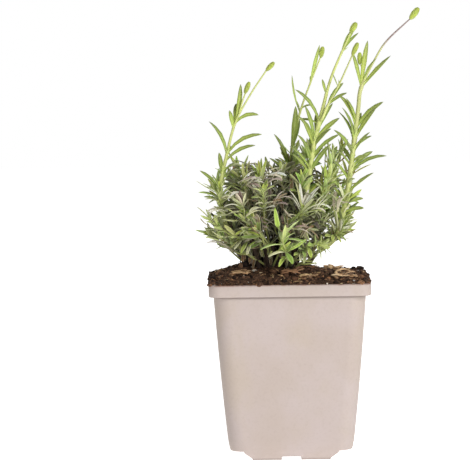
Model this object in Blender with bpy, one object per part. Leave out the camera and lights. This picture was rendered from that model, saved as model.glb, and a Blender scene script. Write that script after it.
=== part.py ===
"""Potted lavender: a young lavender plant in a square plastic nursery pot.

The plan is drawn in millimetres and built in metres. +Z is up, the origin is the centre of the
pot's underside, and the tallest shoot leans towards +X.
"""

import math
import random

import bmesh
import bpy
from mathutils import Matrix, Vector
from mathutils.bvhtree import BVHTree

MM = 0.001

# Pot: a tapered square tub with a rolled rim. Widths are half-widths of the square.
RIM_HALF = 45.0
RIM_TOP = 99.1
RIM_BAND = 6.8
RIM_LIP = 1.1
WALL_HALF_TOP = 42.4
WALL_HALF_FOOT = 34.2
WALL_BULGE = 0.5
FOOT_TUCK = 1.6
FOOT_TUCK_HEIGHT = 12.0
WALL = 1.0
WALL_CORNER = 9.5
RIM_CORNER = 6.5
CORNER_STEPS = 5
WALL_HEIGHTS = (4.0, 8.0, 12.0, 30.0, 60.0)

# The left and right edges of the base stand clear of the ground, and a short groove runs in from
# the front and from the back.
FOOT_HALF = 21.6
EDGE_FLAT = 26.6
EDGE_LIFT = 5.0
GROOVE_HALF = 5.5
GROOVE_LIFT = 2.3
GROOVE_INNER = 20.0
DRAIN_RADIUS = 3.5
DRAIN_PLACE = 14.0

GAP = 0.3

# Soil: heaped above the rim, highest round the crown of the plant.
SOIL_EDGE = 97.6
SOIL_SHOULDER = 3.2
SOIL_RISE = 4.6
SOIL_RINGS = 7
CROWN_X = -8.0
CROWN_Y = 1.0
CROWN_SPREAD = 21.0

# Woody crown: a root stub in the soil, and short bark-covered branches.
STUB_BOTTOM = 76.0
STUB_TOP = 104.6
STUB_RADIUS_BOTTOM = 6.0
STUB_RADIUS_TOP = 12.5
BRANCH_RADIUS_FOOT = 1.7
BRANCH_RADIUS_TIP = 1.1
BRANCH_SIDES = 7
BRANCH_TIPS = [
    (-29.0, -3.0, 117.0),
    (-1.0, 0.0, 124.0),
    (4.0, -8.0, 116.5),
    (16.0, -4.0, 112.5),
    (-12.0, -14.0, 118.0),
    (-22.0, 12.0, 119.0),
    (-6.0, 14.0, 121.0),
    (10.0, 13.0, 117.0),
    (-20.0, -6.0, 121.0),
]

# Stems and leaves. A leaf grows out of one side of a square stem, always in a flat, narrow strap.
NODE_HEIGHT = 1.1
LEAF_THICKNESS = 0.55
STEM_TIP_TAPER = 0.7

# Tall shoots: the middle line of each stem from its branch to its bud, and its leaves as
# (height on the stem, reach from stem to leaf tip, breadth, bow).
TALL_SHOOTS = {
    "shoot_left": {
        "width": 1.9,
        "stem": [(-29.6, -3.4, 118.6), (-36, -9, 134), (-38, -10, 150), (-34, -8, 169),
                 (-29, -6, 187), (-20.5, -5, 202.5), (-11.2, -4, 216.2)],
        "leaves": [
            (192.5, (3.4, 0, 11.2), 1.2, 0), (186.5, (3.5, 3, 21.5), 2.5, -1),
            (186.5, (0.9, 7, 11), 2.2, 1), (186.5, (13, -1, 4.8), 2.3, 2.6),
            (184, (-7, 5, 9), 2.2, 1), (169, (-9.3, -2, 18.6), 2.4, 2.4),
            (169, (19.2, -2, 11.2), 2.4, 3.6), (165.5, (16.5, 10, 8.2), 2.3, 2.4),
            (158.5, (-1.6, -4, 12), 3.2, 0), (158.5, (7.4, -5, 6.6), 2.3, 1),
            (155.5, (7.5, 7, 4), 2.2, 1), (150, (-10.7, -2, 10.5), 2.5, 1),
            (150, (2, 9, 6), 2.4, 1), (143, (-9, -1, 3), 2.3, 1), (143, (7.5, -6, 7), 2.3, 1),
        ],
    },
    "shoot_thin": {
        "width": 1.5,
        "stem": [(-0.6, 0.4, 125.6), (1, 2, 143), (2, 5, 165), (5, 6, 182),
                 (10.5, 6, 200), (19.8, 6, 223)],
        "leaves": [
            (210.5, (4.5, 1, 18.8), 2.2, 0.6), (194, (6, -1, 2), 1.6, 1), (192, (-4, 1, 20.4), 1.7, -1),
            (171, (2.4, -4, 24), 3.2, -1), (171, (4.8, 5, 16.4), 2.8, 0), (158.5, (-8.4, -3, 21), 2.5, 2),
            (158.5, (8.7, 3, 11), 2.6, 1), (155.5, (-11, -6, 11), 3.4, 1), (152, (-9, 8, 10), 2.8, 1),
            (152, (6, 8, 9), 2.6, 1),
        ],
    },
    "shoot_centre": {
        "width": 2.0,
        "stem": [(4.4, -9.0, 118.2), (7, -16, 134), (11, -17, 152), (15, -14, 175), (20, -12, 194),
                 (25.5, -11, 213), (36.2, -10, 236.9)],
        "leaves": [
            (226, (8.2, 3, 18.4), 2.6, 0.8), (226, (10, 4, 11), 2.2, 0.8), (202.5, (-2, 1, 8.4), 2, 0),
            (196, (-5, 7, 8), 2.2, 1), (187, (-12.7, 1, 18), 2.4, 2.6), (180, (1, 10, 12), 2.4, 1),
            (176.5, (-5, -2, 19.4), 2.3, 1), (176.5, (13.6, 1, 12.4), 3, 1),
            (173.5, (8.8, -8, 7.6), 2.6, 1), (173.5, (-6, -7, 15), 2.4, 1),
            (164.5, (-4.6, -5, 12.2), 3, 0.6), (164.5, (7, 8, 9), 2.6, 1),
            (158.5, (-9, -7, 11), 2.8, 1), (158.5, (12, -2, 6.2), 2.8, 1),
        ],
    },
    "shoot_centre_side": {
        "width": 1.5,
        "stem": [(19.9, -14.6, 189.6), (22.6, -15.2, 196), (26.4, -15.2, 202.5),
                 (30.5, -15, 210.5), (36.9, -15, 224.3)],
        "leaves": [
            (196.5, (8.6, 0, 12.2), 2.3, 1), (196.5, (6, -7, 5), 2.2, 1), (196.5, (5.5, 7, 8), 2.2, 1),
            (207, (-3, -3, 7), 1.8, 0),
        ],
    },
    "shoot_right": {
        "width": 2.4,
        "stem": [(17.2, -5.2, 114.2), (26, -11, 122), (31, -15, 137), (34.5, -15, 155), (37, -14, 173),
                 (40, -12, 194), (42, -10, 206.5), (50.5, -8, 223), (57, -7, 232.5), (69.8, -5, 244)],
        "leaves": [
            (213.5, (5.9, -3, 10.4), 1.8, 0.6), (210.5, (-1.8, 1, 7.3), 1.2, 0),
            (206.0, (-4, -1, 19.3), 2.4, 0.6), (206.0, (14, 2, 16.9), 2.6, 1),
            (206.0, (1.4, 7, 24.5), 2.8, 1), (183, (-9, -1, 18.6), 2.4, 2.6),
            (183, (15, 4, 14.6), 3.2, 1.6), (179.5, (-7, -6, 15.4), 2.3, 1.4), (179.5, (4, 9, 12), 2.6, 1),
            (176.5, (12, -3, 17.8), 2.8, 1), (176.5, (-3, -9, 13), 2.2, 1), (172, (10, -1, 7), 2.3, 1),
            (169, (-10, 1, 13.4), 2.8, 1.6), (169, (-3, -8, 7), 2.4, 1), (164, (8, -4, 4), 2.3, 1.4),
            (164, (-5, 9, 9), 2.4, 1), (157.5, (19.8, 1, 10), 2.6, 3.4), (152, (3, -7.5, 4), 2.4, 1),
            (147, (14.4, -3, 11.4), 2.8, 1), (147, (3, 9, 6), 2.4, 1), (141, (10, 2, 3), 2.4, 1),
            (136.5, (11, -6, 2.6), 2.4, 1), (131.5, (7, -4, 2), 2.2, 1),
        ],
    },
}

# Flower buds: foot of the bud, direction, length and thickness.
BUDS = {
    "bud_left": ((-10.6, -3.9, 216.8), (0.70, 0.1, 0.71), 6.6, 2.9),
    "bud_left_side": ((-23.0, -5.9, 204.4), (0.38, 0, 0.92), 7.0, 2.9),
    "bud_thin": ((20.1, 6.0, 223.7), (0.2, 0, 0.98), 6.4, 3.0),
    "bud_centre": ((36.6, -10.0, 237.6), (0.52, 0.05, 0.86), 6.6, 3.6),
    "bud_centre_side": ((37.2, -15.0, 225.0), (0.42, 0, 0.91), 7.8, 3.0),
    "bud_right": ((70.4, -4.9, 244.6), (0.62, 0.05, 0.79), 8.0, 3.9),
    "bud_right_side": ((41.3, -8.4, 219.8), (0.02, 0, 1), 6.8, 2.9),
}
BUD_SIDES = 8
BUD_PROFILE = [(0.0, 0.42), (0.18, 0.86), (0.42, 1.0), (0.68, 0.82), (0.88, 0.46)]

# Foliage: short leafy shoots that fill a dome over the crown.
DOME_CENTRE = Vector((-4.0, 0.0, 121.0))
DOME_RADII = Vector((38.0, 35.0, 40.0))
DOME_LOWEST = -0.28
FOLIAGE_TARGETS = [
    (6, -35, 141), (-25, -31, 140), (-25, -21, 162), (-17, -14, 161), (-14, -27, 152), (-4, -37, 121),
    (15, -30, 117), (33, -20, 131), (-45, -12, 138), (-43, -8, 128), (-36, -14, 123), (25, -17, 160),
]
FOLIAGE_COUNT = 36
FOLIAGE_WIDTH = 1.2
FOLIAGE_SPACING = 3.7
FOLIAGE_LEAF = 13.0
FOLIAGE_BREADTH = 2.2
FOLIAGE_TRIES = 14
FEWEST_LEAVES = 5
TIP_DISTANCE = 11.0
SEED = 7

# Bark chips on the soil: place, turn about Z in degrees, length, width, thickness.
BARK_CHIPS = [
    ((-27.0, -20.0), 15, 9.0, 4.0, 1.2),
    ((0.5, -24.0), -20, 7.5, 5.0, 1.2),
    ((9.0, -33.0), 8, 5.0, 3.0, 1.0),
    ((30.0, -28.0), 35, 9.5, 4.5, 1.3),
    ((24.0, 14.0), -10, 10.0, 5.0, 1.4),
    ((-12.0, 34.0), 60, 8.0, 4.0, 1.2),
]


def clear_scene():
    for item in list(bpy.data.objects):
        bpy.data.objects.remove(item)


def new_collection(name):
    collection = bpy.data.collections.new(name)
    bpy.context.scene.collection.children.link(collection)
    return collection


def plain_material(name, colour, roughness):
    material = bpy.data.materials.new(name)
    material.use_nodes = True
    shader = material.node_tree.nodes["Principled BSDF"]
    shader.inputs["Base Color"].default_value = (*colour, 1.0)
    shader.inputs["Roughness"].default_value = roughness
    shader.inputs["Metallic"].default_value = 0.0
    material.diffuse_color = (*colour, 1.0)
    return material


def add_object(name, shape, material, collection):
    """Turns a bmesh drawn in millimetres into an object in metres."""
    bmesh.ops.scale(shape, vec=(MM, MM, MM), verts=shape.verts)
    mesh = bpy.data.meshes.new(name)
    shape.to_mesh(mesh)
    shape.free()
    if material:
        mesh.materials.append(material)
    thing = bpy.data.objects.new(name, mesh)
    collection.objects.link(thing)
    return thing


def add_cutter(name, shape, collection):
    cutter = add_object(name, shape, None, collection)
    cutter.hide_render = True
    cutter.display_type = "WIRE"
    return cutter


def cut(thing, cutter, operation="DIFFERENCE"):
    modifier = thing.modifiers.new(cutter.name, "BOOLEAN")
    modifier.object = cutter
    modifier.operation = operation
    modifier.solver = "EXACT"


# --- lofts -------------------------------------------------------------------------------------


def rounded_square(half, height, radius):
    """Points round a square with round corners, anticlockwise from above."""
    points = []
    inner = half - radius
    for quarter in range(4):
        for step in range(CORNER_STEPS + 1):
            angle = math.radians(90 * (quarter + step / CORNER_STEPS))
            sign_x, sign_y = [(1, 1), (-1, 1), (-1, -1), (1, -1)][quarter]
            points.append(Vector((
                sign_x * inner + radius * math.cos(angle),
                sign_y * inner + radius * math.sin(angle),
                height,
            )))
    return points


def loft(shape, rings):
    """Joins rings of equal count with quads, and closes both ends."""
    loops = [[shape.verts.new(point) for point in ring] for ring in rings]
    for lower, upper in zip(loops, loops[1:]):
        for index in range(len(lower)):
            following = (index + 1) % len(lower)
            shape.faces.new((lower[index], lower[following], upper[following], upper[index]))
    shape.faces.new(list(reversed(loops[0])))
    shape.faces.new(loops[-1])
    return loops


def wall_half(height):
    """Half-width of the pot's outer wall: wider upwards, bulged a little, and tucked in at its foot."""
    share = height / (RIM_TOP - RIM_BAND)
    bulge = WALL_BULGE * math.sin(math.pi * share)
    tuck = FOOT_TUCK * max(0.0, 1 - height / FOOT_TUCK_HEIGHT) ** 2
    return WALL_HALF_FOOT + (WALL_HALF_TOP - WALL_HALF_FOOT) * share + bulge - tuck


# --- pot and soil ------------------------------------------------------------------------------


def base_cutters(collection, name, grow):
    """The raised left and right edges and the two grooves of the base, made larger by grow."""
    edges = bmesh.new()
    outer = RIM_HALF + 5.0
    steps = 5
    for sign in (-1, 1):
        rings = []
        for step in range(steps):
            rise = step / (steps - 1)
            ease = rise * rise * (3 - 2 * rise)
            inner = FOOT_HALF + (EDGE_FLAT - FOOT_HALF) * ease - grow
            height = -2.0 if step == 0 else EDGE_LIFT * rise + grow
            corners = [(inner, -outer), (outer, -outer), (outer, outer), (inner, outer)]
            ring = [Vector((sign * x, y, height)) for x, y in corners]
            rings.append(ring if sign > 0 else ring[::-1])
        loft(edges, rings)
    grooves = bmesh.new()
    length = RIM_HALF - GROOVE_INNER + grow
    size = (2 * (GROOVE_HALF + grow), length, 2 * (GROOVE_LIFT + grow))
    for sign in (-1, 1):
        middle = Vector((0, sign * (GROOVE_INNER - grow + length / 2), 0))
        place = Matrix.Translation(middle) @ Matrix.Diagonal((*size, 1.0))
        bmesh.ops.create_cube(grooves, size=1.0, matrix=place)
    return [
        add_cutter(name + "_edges", edges, collection),
        add_cutter(name + "_grooves", grooves, collection),
    ]


def inner_square(inset, height):
    """The outline of the wall at a height, drawn in by the inset."""
    return rounded_square(wall_half(height) - inset, height, WALL_CORNER - inset)


def pot_skin():
    """The pot's outside, with the rim's hanging band and the hollow behind it."""
    band_foot = RIM_TOP - RIM_BAND
    under_lip = RIM_TOP - RIM_LIP
    rim = [
        (RIM_HALF - WALL, under_lip), (RIM_HALF - WALL, band_foot + 0.4),
        (RIM_HALF - WALL + 0.4, band_foot), (RIM_HALF - 0.6, band_foot),
        (RIM_HALF - 0.1, band_foot + 0.8), (RIM_HALF, RIM_TOP - 1.0),
        (RIM_HALF - 0.3, RIM_TOP - 0.3), (RIM_HALF - 1.0, RIM_TOP),
    ]
    rings = [inner_square(0.0, height) for height in (0.0, *WALL_HEIGHTS, under_lip)]
    rings += [rounded_square(half, height, RIM_CORNER - RIM_HALF + half) for half, height in rim]
    shape = bmesh.new()
    loft(shape, rings)
    return shape


def tub_space(inset, bottom, top):
    """The tapered square space inside the pot, inset from the outer wall."""
    shape = bmesh.new()
    loft(shape, [inner_square(inset, height) for height in (bottom, *WALL_HEIGHTS, top)])
    return shape


def build_pot(material, parts, cutters):
    pot = add_object("pot", pot_skin(), material, parts)
    for cutter in base_cutters(cutters, "pot_foot", 0.0):
        cut(pot, cutter)
    space = add_cutter("pot_space", tub_space(WALL, WALL, RIM_TOP + 4.0), cutters)
    for cutter in base_cutters(cutters, "pot_floor", WALL):
        cut(space, cutter)
    cut(pot, space)
    drains = bmesh.new()
    for sign_x in (-1, 1):
        for sign_y in (-1, 1):
            place = Matrix.Translation((sign_x * DRAIN_PLACE, sign_y * DRAIN_PLACE, 0.0))
            bmesh.ops.create_cone(drains, cap_ends=True, segments=16, radius1=DRAIN_RADIUS,
                                  radius2=DRAIN_RADIUS, depth=6.0, matrix=place)
    cut(pot, add_cutter("pot_drains", drains, cutters))
    return pot


def soil_height(x, y):
    """Height of the soil: level with the rim at the wall, heaped round the crown."""
    inner = wall_half(SOIL_EDGE) - WALL
    margin = inner - max(abs(x), abs(y))
    shoulder = SOIL_SHOULDER * (1 - math.exp(-max(margin, 0.0) / 3.5))
    distance = (x - CROWN_X) ** 2 + (y - CROWN_Y) ** 2
    heap = SOIL_RISE * math.exp(-distance / (2 * CROWN_SPREAD ** 2))
    lumps = 0.5 * math.sin(0.31 * x + 0.6) * math.sin(0.27 * y + 1.1) * min(1.0, max(margin, 0.0) / 6.0)
    return SOIL_EDGE + shoulder + heap + lumps


def build_soil(material, parts, cutters):
    """A block that fills the tub, with a heaped top drawn as shrinking rounded squares."""
    inset = WALL + GAP
    edge = wall_half(SOIL_EDGE) - inset
    rings = [inner_square(inset, height) for height in (inset, *WALL_HEIGHTS, SOIL_EDGE)]
    for step in range(1, SOIL_RINGS):
        half = edge * (1 - step / SOIL_RINGS) ** 1.15
        outline = rounded_square(half, 0.0, min(WALL_CORNER - inset, half * 0.6))
        rings.append([Vector((point.x, point.y, soil_height(point.x, point.y))) for point in outline])
    shape = bmesh.new()
    loft(shape, rings)
    soil = add_object("soil", shape, material, parts)
    for cutter in base_cutters(cutters, "soil_floor", inset):
        cut(soil, cutter)
    socket = bmesh.new()
    add_stub(socket, GAP, above=12.0)
    cut(soil, add_cutter("soil_socket", socket, cutters))
    for number, tip in enumerate(BRANCH_TIPS, 1):
        cut(soil, add_cutter(f"branch_hole_{number}", branch_shape(tip, GAP + 0.1), cutters))
    return soil


# --- woody crown -------------------------------------------------------------------------------


def add_stub(shape, grow, above=0.0):
    """The buried root stub, a cone that widens upwards. With above, it is carried on past its top."""
    slope = (STUB_RADIUS_TOP - STUB_RADIUS_BOTTOM) / (STUB_TOP - STUB_BOTTOM)
    depth = STUB_TOP - STUB_BOTTOM + above + grow
    place = Matrix.Translation((CROWN_X, CROWN_Y, STUB_BOTTOM - grow + depth / 2))
    bmesh.ops.create_cone(shape, cap_ends=True, segments=20, radius1=STUB_RADIUS_BOTTOM + grow,
                          radius2=STUB_RADIUS_TOP + grow + slope * above, depth=depth, matrix=place)


def branch_path(tip):
    """Middle line of a woody branch: out of the stub, and up to its tip in a gentle sweep."""
    tip = Vector(tip)
    axis = Vector((CROWN_X, CROWN_Y, 0.0))
    out = Vector((tip.x - axis.x, tip.y - axis.y, 0.0))
    reach = min(1.0, 0.62 * STUB_RADIUS_TOP / out.length)
    foot = Vector((axis.x + out.x * reach, axis.y + out.y * reach, STUB_TOP - 3.0))
    elbow = foot.lerp(tip, 0.5) + out.normalized() * 1.5 - Vector((0, 0, 1.0))
    return smooth_path([foot, elbow, tip], 3)


def branch_shape(tip, grow):
    """A round branch that thins towards its tip, made thicker by grow."""
    path = branch_path(tip)
    rings = []
    for index, point in enumerate(path):
        share = index / (len(path) - 1)
        radius = BRANCH_RADIUS_FOOT + (BRANCH_RADIUS_TIP - BRANCH_RADIUS_FOOT) * share + grow
        side, other = cross_axes(path, index, Vector((0.3, 1, 0)))
        ring = []
        for corner in range(BRANCH_SIDES):
            angle = math.tau * corner / BRANCH_SIDES
            ring.append(point + radius * (side * math.cos(angle) + other * math.sin(angle)))
        rings.append(ring)
    shape = bmesh.new()
    loft(shape, rings)
    return shape


def build_crown(material, parts, cutters):
    shape = bmesh.new()
    add_stub(shape, 0.0)
    crown = add_object("woody_crown", shape, material, parts)
    for number, tip in enumerate(BRANCH_TIPS, 1):
        cut(crown, add_cutter(f"branch_{number}", branch_shape(tip, 0.0), cutters), "UNION")
    return crown


# --- stems and leaves --------------------------------------------------------------------------


def smooth_path(points, steps):
    """A Catmull-Rom curve through the points."""
    points = [Vector(point) for point in points]
    padded = [2 * points[0] - points[1]] + points + [2 * points[-1] - points[-2]]
    path = []
    for a, b, c, d in zip(padded, padded[1:], padded[2:], padded[3:]):
        for step in range(steps):
            t = step / steps
            path.append(0.5 * (2 * b + (c - a) * t + (2 * a - 5 * b + 4 * c - d) * t * t
                               + (3 * b - a - 3 * c + d) * t ** 3))
    return path + [points[-1]]


def cross_axes(path, index, reference):
    """Two directions square to the path at a point, the first as near the reference as can be."""
    along = (path[min(index + 1, len(path) - 1)] - path[max(index - 1, 0)]).normalized()
    side = (reference - along * reference.dot(along)).normalized()
    return side, along.cross(side)


def place_on(path, distance):
    """The point at a distance along the path."""
    for start, end in zip(path, path[1:]):
        length = (end - start).length
        if distance <= length:
            return start.lerp(end, distance / length)
        distance -= length
    return path[-1].copy()


def path_length(path):
    return sum((end - start).length for start, end in zip(path, path[1:]))


def distance_at_height(path, height):
    """How far along a rising path a height is reached."""
    distance = 0.0
    for start, end in zip(path, path[1:]):
        if start.z <= height <= end.z:
            return distance + (end - start).length * (height - start.z) / (end.z - start.z)
        distance += (end - start).length
    return distance


def leaf_line(foot, reach, bow, steps):
    """Middle line of a leaf: straight to its tip, and bowed upwards in between."""
    up = Vector((0, 0, 1)) - reach.normalized() * reach.normalized().z
    if up.length < 0.05:
        up = Vector((1, 0, 0))
    lift = up.normalized() * bow
    return [foot + reach * (step / steps) + lift * 4 * (step / steps) * (1 - step / steps)
            for step in range(steps + 1)]


def stem_rings(path, width, stations):
    """Square rings across the stem at the stations, which are distances along it."""
    total = path_length(path)
    chord = (path[-1] - path[0]).normalized()
    reference = chord.cross(Vector((0, 0, 1)))
    if reference.length < 0.2:
        reference = Vector((1, 0, 0))
    rings = []
    for station in stations:
        along = (place_on(path, min(station + 1, total)) - place_on(path, max(station - 1, 0))).normalized()
        side = (reference - along * reference.dot(along)).normalized()
        other = along.cross(side)
        half = 0.5 * width * (1 - (1 - STEM_TIP_TAPER) * station / total)
        centre = place_on(path, station)
        corners = ((1, -1), (1, 1), (-1, 1), (-1, -1))
        rings.append([centre + half * (side * across + other * up) for across, up in corners])
    return rings


def leaf_from_face(shape, face, line, breadth, waists):
    """Draws one leaf out of a stem's side: it keeps its breadth at the waists and ends in a point."""
    low_left, low_right, top_right, top_left = [loop.vert for loop in face.loops]
    across = (low_right.co - low_left.co).normalized()
    steps = len(line) - 1
    previous = [low_left, low_right, top_right, top_left]
    shape.faces.remove(face)
    for step, share in zip(range(1, steps), waists):
        along = (line[step + 1] - line[step - 1]).normalized()
        side = (across - along * across.dot(along)).normalized() * breadth * share / 2
        rise = along.cross(side).normalized() * LEAF_THICKNESS / 2
        if rise.dot(top_left.co - low_left.co) < 0:
            rise = -rise
        ring = [shape.verts.new(line[step] + offset) for offset in
                (-side - rise, side - rise, side + rise, -side + rise)]
        for index in range(4):
            following = (index + 1) % 4
            shape.faces.new((previous[index], previous[following], ring[following], ring[index]))
        previous = ring
    tip = shape.verts.new(line[-1])
    for index in range(4):
        shape.faces.new((previous[index], previous[(index + 1) % 4], tip))


def leafy_shoot(path, width, leaves, waists):
    """One closed body: a square stem with leaves. Leaves are (distance, reach, breadth, bow)."""
    shape = bmesh.new()
    total = path_length(path)
    places = sorted({leaf[0] for leaf in leaves})
    stations = [0.0]
    for place in places:
        stations += [place - NODE_HEIGHT / 2, place + NODE_HEIGHT / 2]
    stations.append(total)
    loops = loft(shape, stem_rings(path, width, stations))
    for place in places:
        lower = loops[stations.index(place - NODE_HEIGHT / 2)]
        band = [face for face in shape.faces if is_band(face, lower, loops)]
        for _, reach, breadth, bow in [leaf for leaf in leaves if leaf[0] == place]:
            if not band:
                break
            face = max(band, key=lambda each: each.normal.dot(reach))
            band.remove(face)
            line = leaf_line(face.calc_center_median(), reach, bow, len(waists) + 1)
            leaf_from_face(shape, ordered(shape, face, lower), line, breadth, waists)
    bmesh.ops.recalc_face_normals(shape, faces=shape.faces)
    return shape


def is_band(face, lower, loops):
    """True for the side faces that stand on the lower ring."""
    upper = loops[loops.index(lower) + 1]
    corners = set(face.verts)
    face.normal_update()
    return len(corners & set(lower)) == 2 and len(corners & set(upper)) == 2


def ordered(shape, face, lower):
    """The same face, remade so that its first two corners lie on the lower ring."""
    corners = [loop.vert for loop in face.loops]
    while not (corners[0] in lower and corners[1] in lower):
        corners = corners[1:] + corners[:1]
    shape.faces.remove(face)
    return shape.faces.new(corners)


class Crowd:
    """The pieces placed so far, asked whether a new piece would touch one."""

    def __init__(self):
        self.points = []
        self.faces = []
        self.tree = None

    def add(self, points, faces):
        first = len(self.points)
        self.points += points
        self.faces += [[first + index for index in face] for face in faces]
        self.tree = BVHTree.FromPolygons(self.points, self.faces)

    def add_shape(self, shape):
        shape.verts.index_update()
        self.add([vert.co.copy() for vert in shape.verts],
                 [[vert.index for vert in face.verts] for face in shape.faces])

    def add_object(self, thing):
        mesh = thing.evaluated_get(bpy.context.evaluated_depsgraph_get()).to_mesh()
        self.add([vert.co / MM for vert in mesh.vertices], [list(face.vertices) for face in mesh.polygons])

    def clear_of(self, points, clearance):
        return all(self.tree.find_nearest(point, clearance)[0] is None for point in points)

    def misses(self, shape):
        return not self.tree.overlap(BVHTree.FromBMesh(shape))


def line_points(line, spacing, first=0.0):
    """Points along a line, a spacing apart, from a first distance on."""
    total = path_length(line)
    count = max(1, int((total - first) / spacing))
    return [place_on(line, first + (total - first) * step / count) for step in range(count + 1)]


# --- tall shoots and buds ----------------------------------------------------------------------


def tall_leaves(path, plan):
    return [(round(distance_at_height(path, height), 1), Vector(reach), breadth, bow)
            for height, reach, breadth, bow in plan["leaves"]]


def build_tall_shoots(material, parts, crowd):
    for name, plan in TALL_SHOOTS.items():
        path = smooth_path(plan["stem"], 4)
        shape = leafy_shoot(path, plan["width"], tall_leaves(path, plan), (1.0, 0.8))
        crowd.add_shape(shape)
        add_object(name, shape, material, parts)


def build_buds(material, parts, crowd):
    """Each bud is a turned spindle, blunt at its foot and pointed at its tip."""
    for name, (foot, direction, length, thickness) in BUDS.items():
        axis = Vector(direction).normalized()
        turn = axis.to_track_quat("Z", "Y")
        shape = bmesh.new()
        rings = []
        for share, girth in BUD_PROFILE:
            ring = []
            for side in range(BUD_SIDES):
                angle = math.tau * side / BUD_SIDES
                spoke = Vector((math.cos(angle), math.sin(angle), 0)) * thickness / 2 * girth
                ring.append(Vector(foot) + turn @ spoke + axis * length * share)
            rings.append(ring)
        loops = loft(shape, rings)
        tip = shape.verts.new(Vector(foot) + axis * length)
        cap = next(face for face in shape.faces if set(face.verts) == set(loops[-1]))
        shape.faces.remove(cap)
        for index in range(BUD_SIDES):
            shape.faces.new((loops[-1][index], loops[-1][(index + 1) % BUD_SIDES], tip))
        crowd.add_shape(shape)
        add_object(name, shape, material, parts)


# --- foliage -----------------------------------------------------------------------------------


def dome_targets():
    """Shoot tips: the chosen ones first, then an even spiral over the dome that keeps clear of them."""
    targets = [Vector(target) for target in FOLIAGE_TARGETS]
    golden = math.pi * (3 - math.sqrt(5))
    spread = FOLIAGE_COUNT + 10
    for number in range(spread):
        height = 1 - (1 - DOME_LOWEST) * (number + 0.5) / spread
        ring = math.sqrt(max(0.0, 1 - height * height))
        point = DOME_CENTRE + Vector((
            DOME_RADII.x * ring * math.cos(golden * number),
            DOME_RADII.y * ring * math.sin(golden * number),
            DOME_RADII.z * height,
        ))
        if len(targets) < FOLIAGE_COUNT and all((point - other).length > TIP_DISTANCE for other in targets):
            targets.append(point)
    return targets


def foliage_path(target, chance, attempt):
    """From the side of the nearest free stretch of a woody branch, out and up to the target."""
    paths = [branch_path(tip) for tip in BRANCH_TIPS]
    nearest = sorted(paths, key=lambda path: (path[-1] - target).length)
    path = nearest[attempt % 3]
    share = chance.uniform(0.35, 0.97)
    join = place_on(path, path_length(path) * share)
    along = (path[-1] - path[0]).normalized()
    out = target - join
    out = (out - along * out.dot(along)).normalized()
    foot = join + out * (BRANCH_RADIUS_FOOT + 0.5 * FOLIAGE_WIDTH + GAP)
    middle = foot.lerp(target, 0.5) + Vector((0, 0, -2.5)) + out * 2.0
    return smooth_path([foot, middle, target], 4)


def foliage_leaves(path, chance):
    """Pairs of leaves up the stem, each pair square to the last, shorter and steeper at the tip."""
    total = path_length(path)
    pairs = int((total - 4.0) / FOLIAGE_SPACING)
    start = total - 1.0 - FOLIAGE_SPACING * (pairs - 1)
    chord = (path[-1] - path[0]).normalized()
    first = chord.cross(Vector((0, 0, 1)))
    first = first.normalized() if first.length > 0.2 else Vector((1, 0, 0))
    second = chord.cross(first)
    leaves = []
    for pair in range(pairs):
        distance = start + FOLIAGE_SPACING * pair
        young = pair / max(1, pairs - 1)
        lean = math.radians(58 - 34 * young + chance.uniform(-8, 8))
        side = first if pair % 2 else second
        for sign in (-1, 1):
            length = FOLIAGE_LEAF * (1 - 0.42 * young ** 3) * chance.uniform(0.8, 1.12)
            reach = (side * sign * math.sin(lean) + chord * math.cos(lean)) * length
            breadth = FOLIAGE_BREADTH * chance.uniform(0.85, 1.15)
            leaves.append((distance, reach, breadth, chance.uniform(0.2, 1.4)))
    return leaves


def foliage_shape(path, leaves, crowd):
    """The shoot with the leaves that have room, or None if its stem has none."""
    if not crowd.clear_of(line_points(path, 2.0, first=3.0), 0.5 * FOLIAGE_WIDTH + 0.5):
        return None
    kept = []
    for leaf in leaves:
        distance, reach, breadth, bow = leaf
        line = leaf_line(place_on(path, distance), reach, bow, 4)
        if crowd.clear_of(line_points(line, 1.6), 0.5 * breadth + 0.35):
            kept.append(leaf)
    if len(kept) < FEWEST_LEAVES:
        return None
    shape = leafy_shoot(path, FOLIAGE_WIDTH, kept, (1.0,))
    if crowd.misses(shape):
        return shape
    shape.free()
    return None


def build_foliage(material, parts, crowd):
    chance = random.Random(SEED)
    number = 0
    for target in dome_targets():
        for attempt in range(FOLIAGE_TRIES):
            aim = target + Vector([chance.uniform(-1, 1) * attempt * 0.4 for _ in range(3)])
            path = foliage_path(aim, chance, attempt)
            shape = foliage_shape(path, foliage_leaves(path, chance), crowd)
            if shape:
                number += 1
                crowd.add_shape(shape)
                add_object(f"foliage_{number:02d}", shape, material, parts)
                break


# --- bark chips --------------------------------------------------------------------------------


def build_chips(material, parts):
    """Flat flakes with bevelled edges, each lying along the slope of the soil under it."""
    for number, ((x, y), turn, length, width, thickness) in enumerate(BARK_CHIPS, 1):
        step = 2.0
        slope = Vector((
            soil_height(x - step, y) - soil_height(x + step, y),
            soil_height(x, y - step) - soil_height(x, y + step),
            2 * step,
        )).normalized()
        lie = slope.to_track_quat("Z", "Y").to_matrix().to_4x4()
        lift = thickness / 2 + 0.8
        place = Matrix.Translation((x, y, soil_height(x, y) + lift)) @ lie
        size = Matrix.Diagonal((length, width, thickness, 1.0))
        spin = Matrix.Rotation(math.radians(turn), 4, "Z")
        shape = bmesh.new()
        bmesh.ops.create_cube(shape, size=1.0, matrix=place @ spin @ size)
        bmesh.ops.bevel(shape, geom=shape.edges[:], offset=thickness * 0.25, segments=1, affect="EDGES")
        add_object(f"bark_chip_{number}", shape, material, parts)


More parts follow.
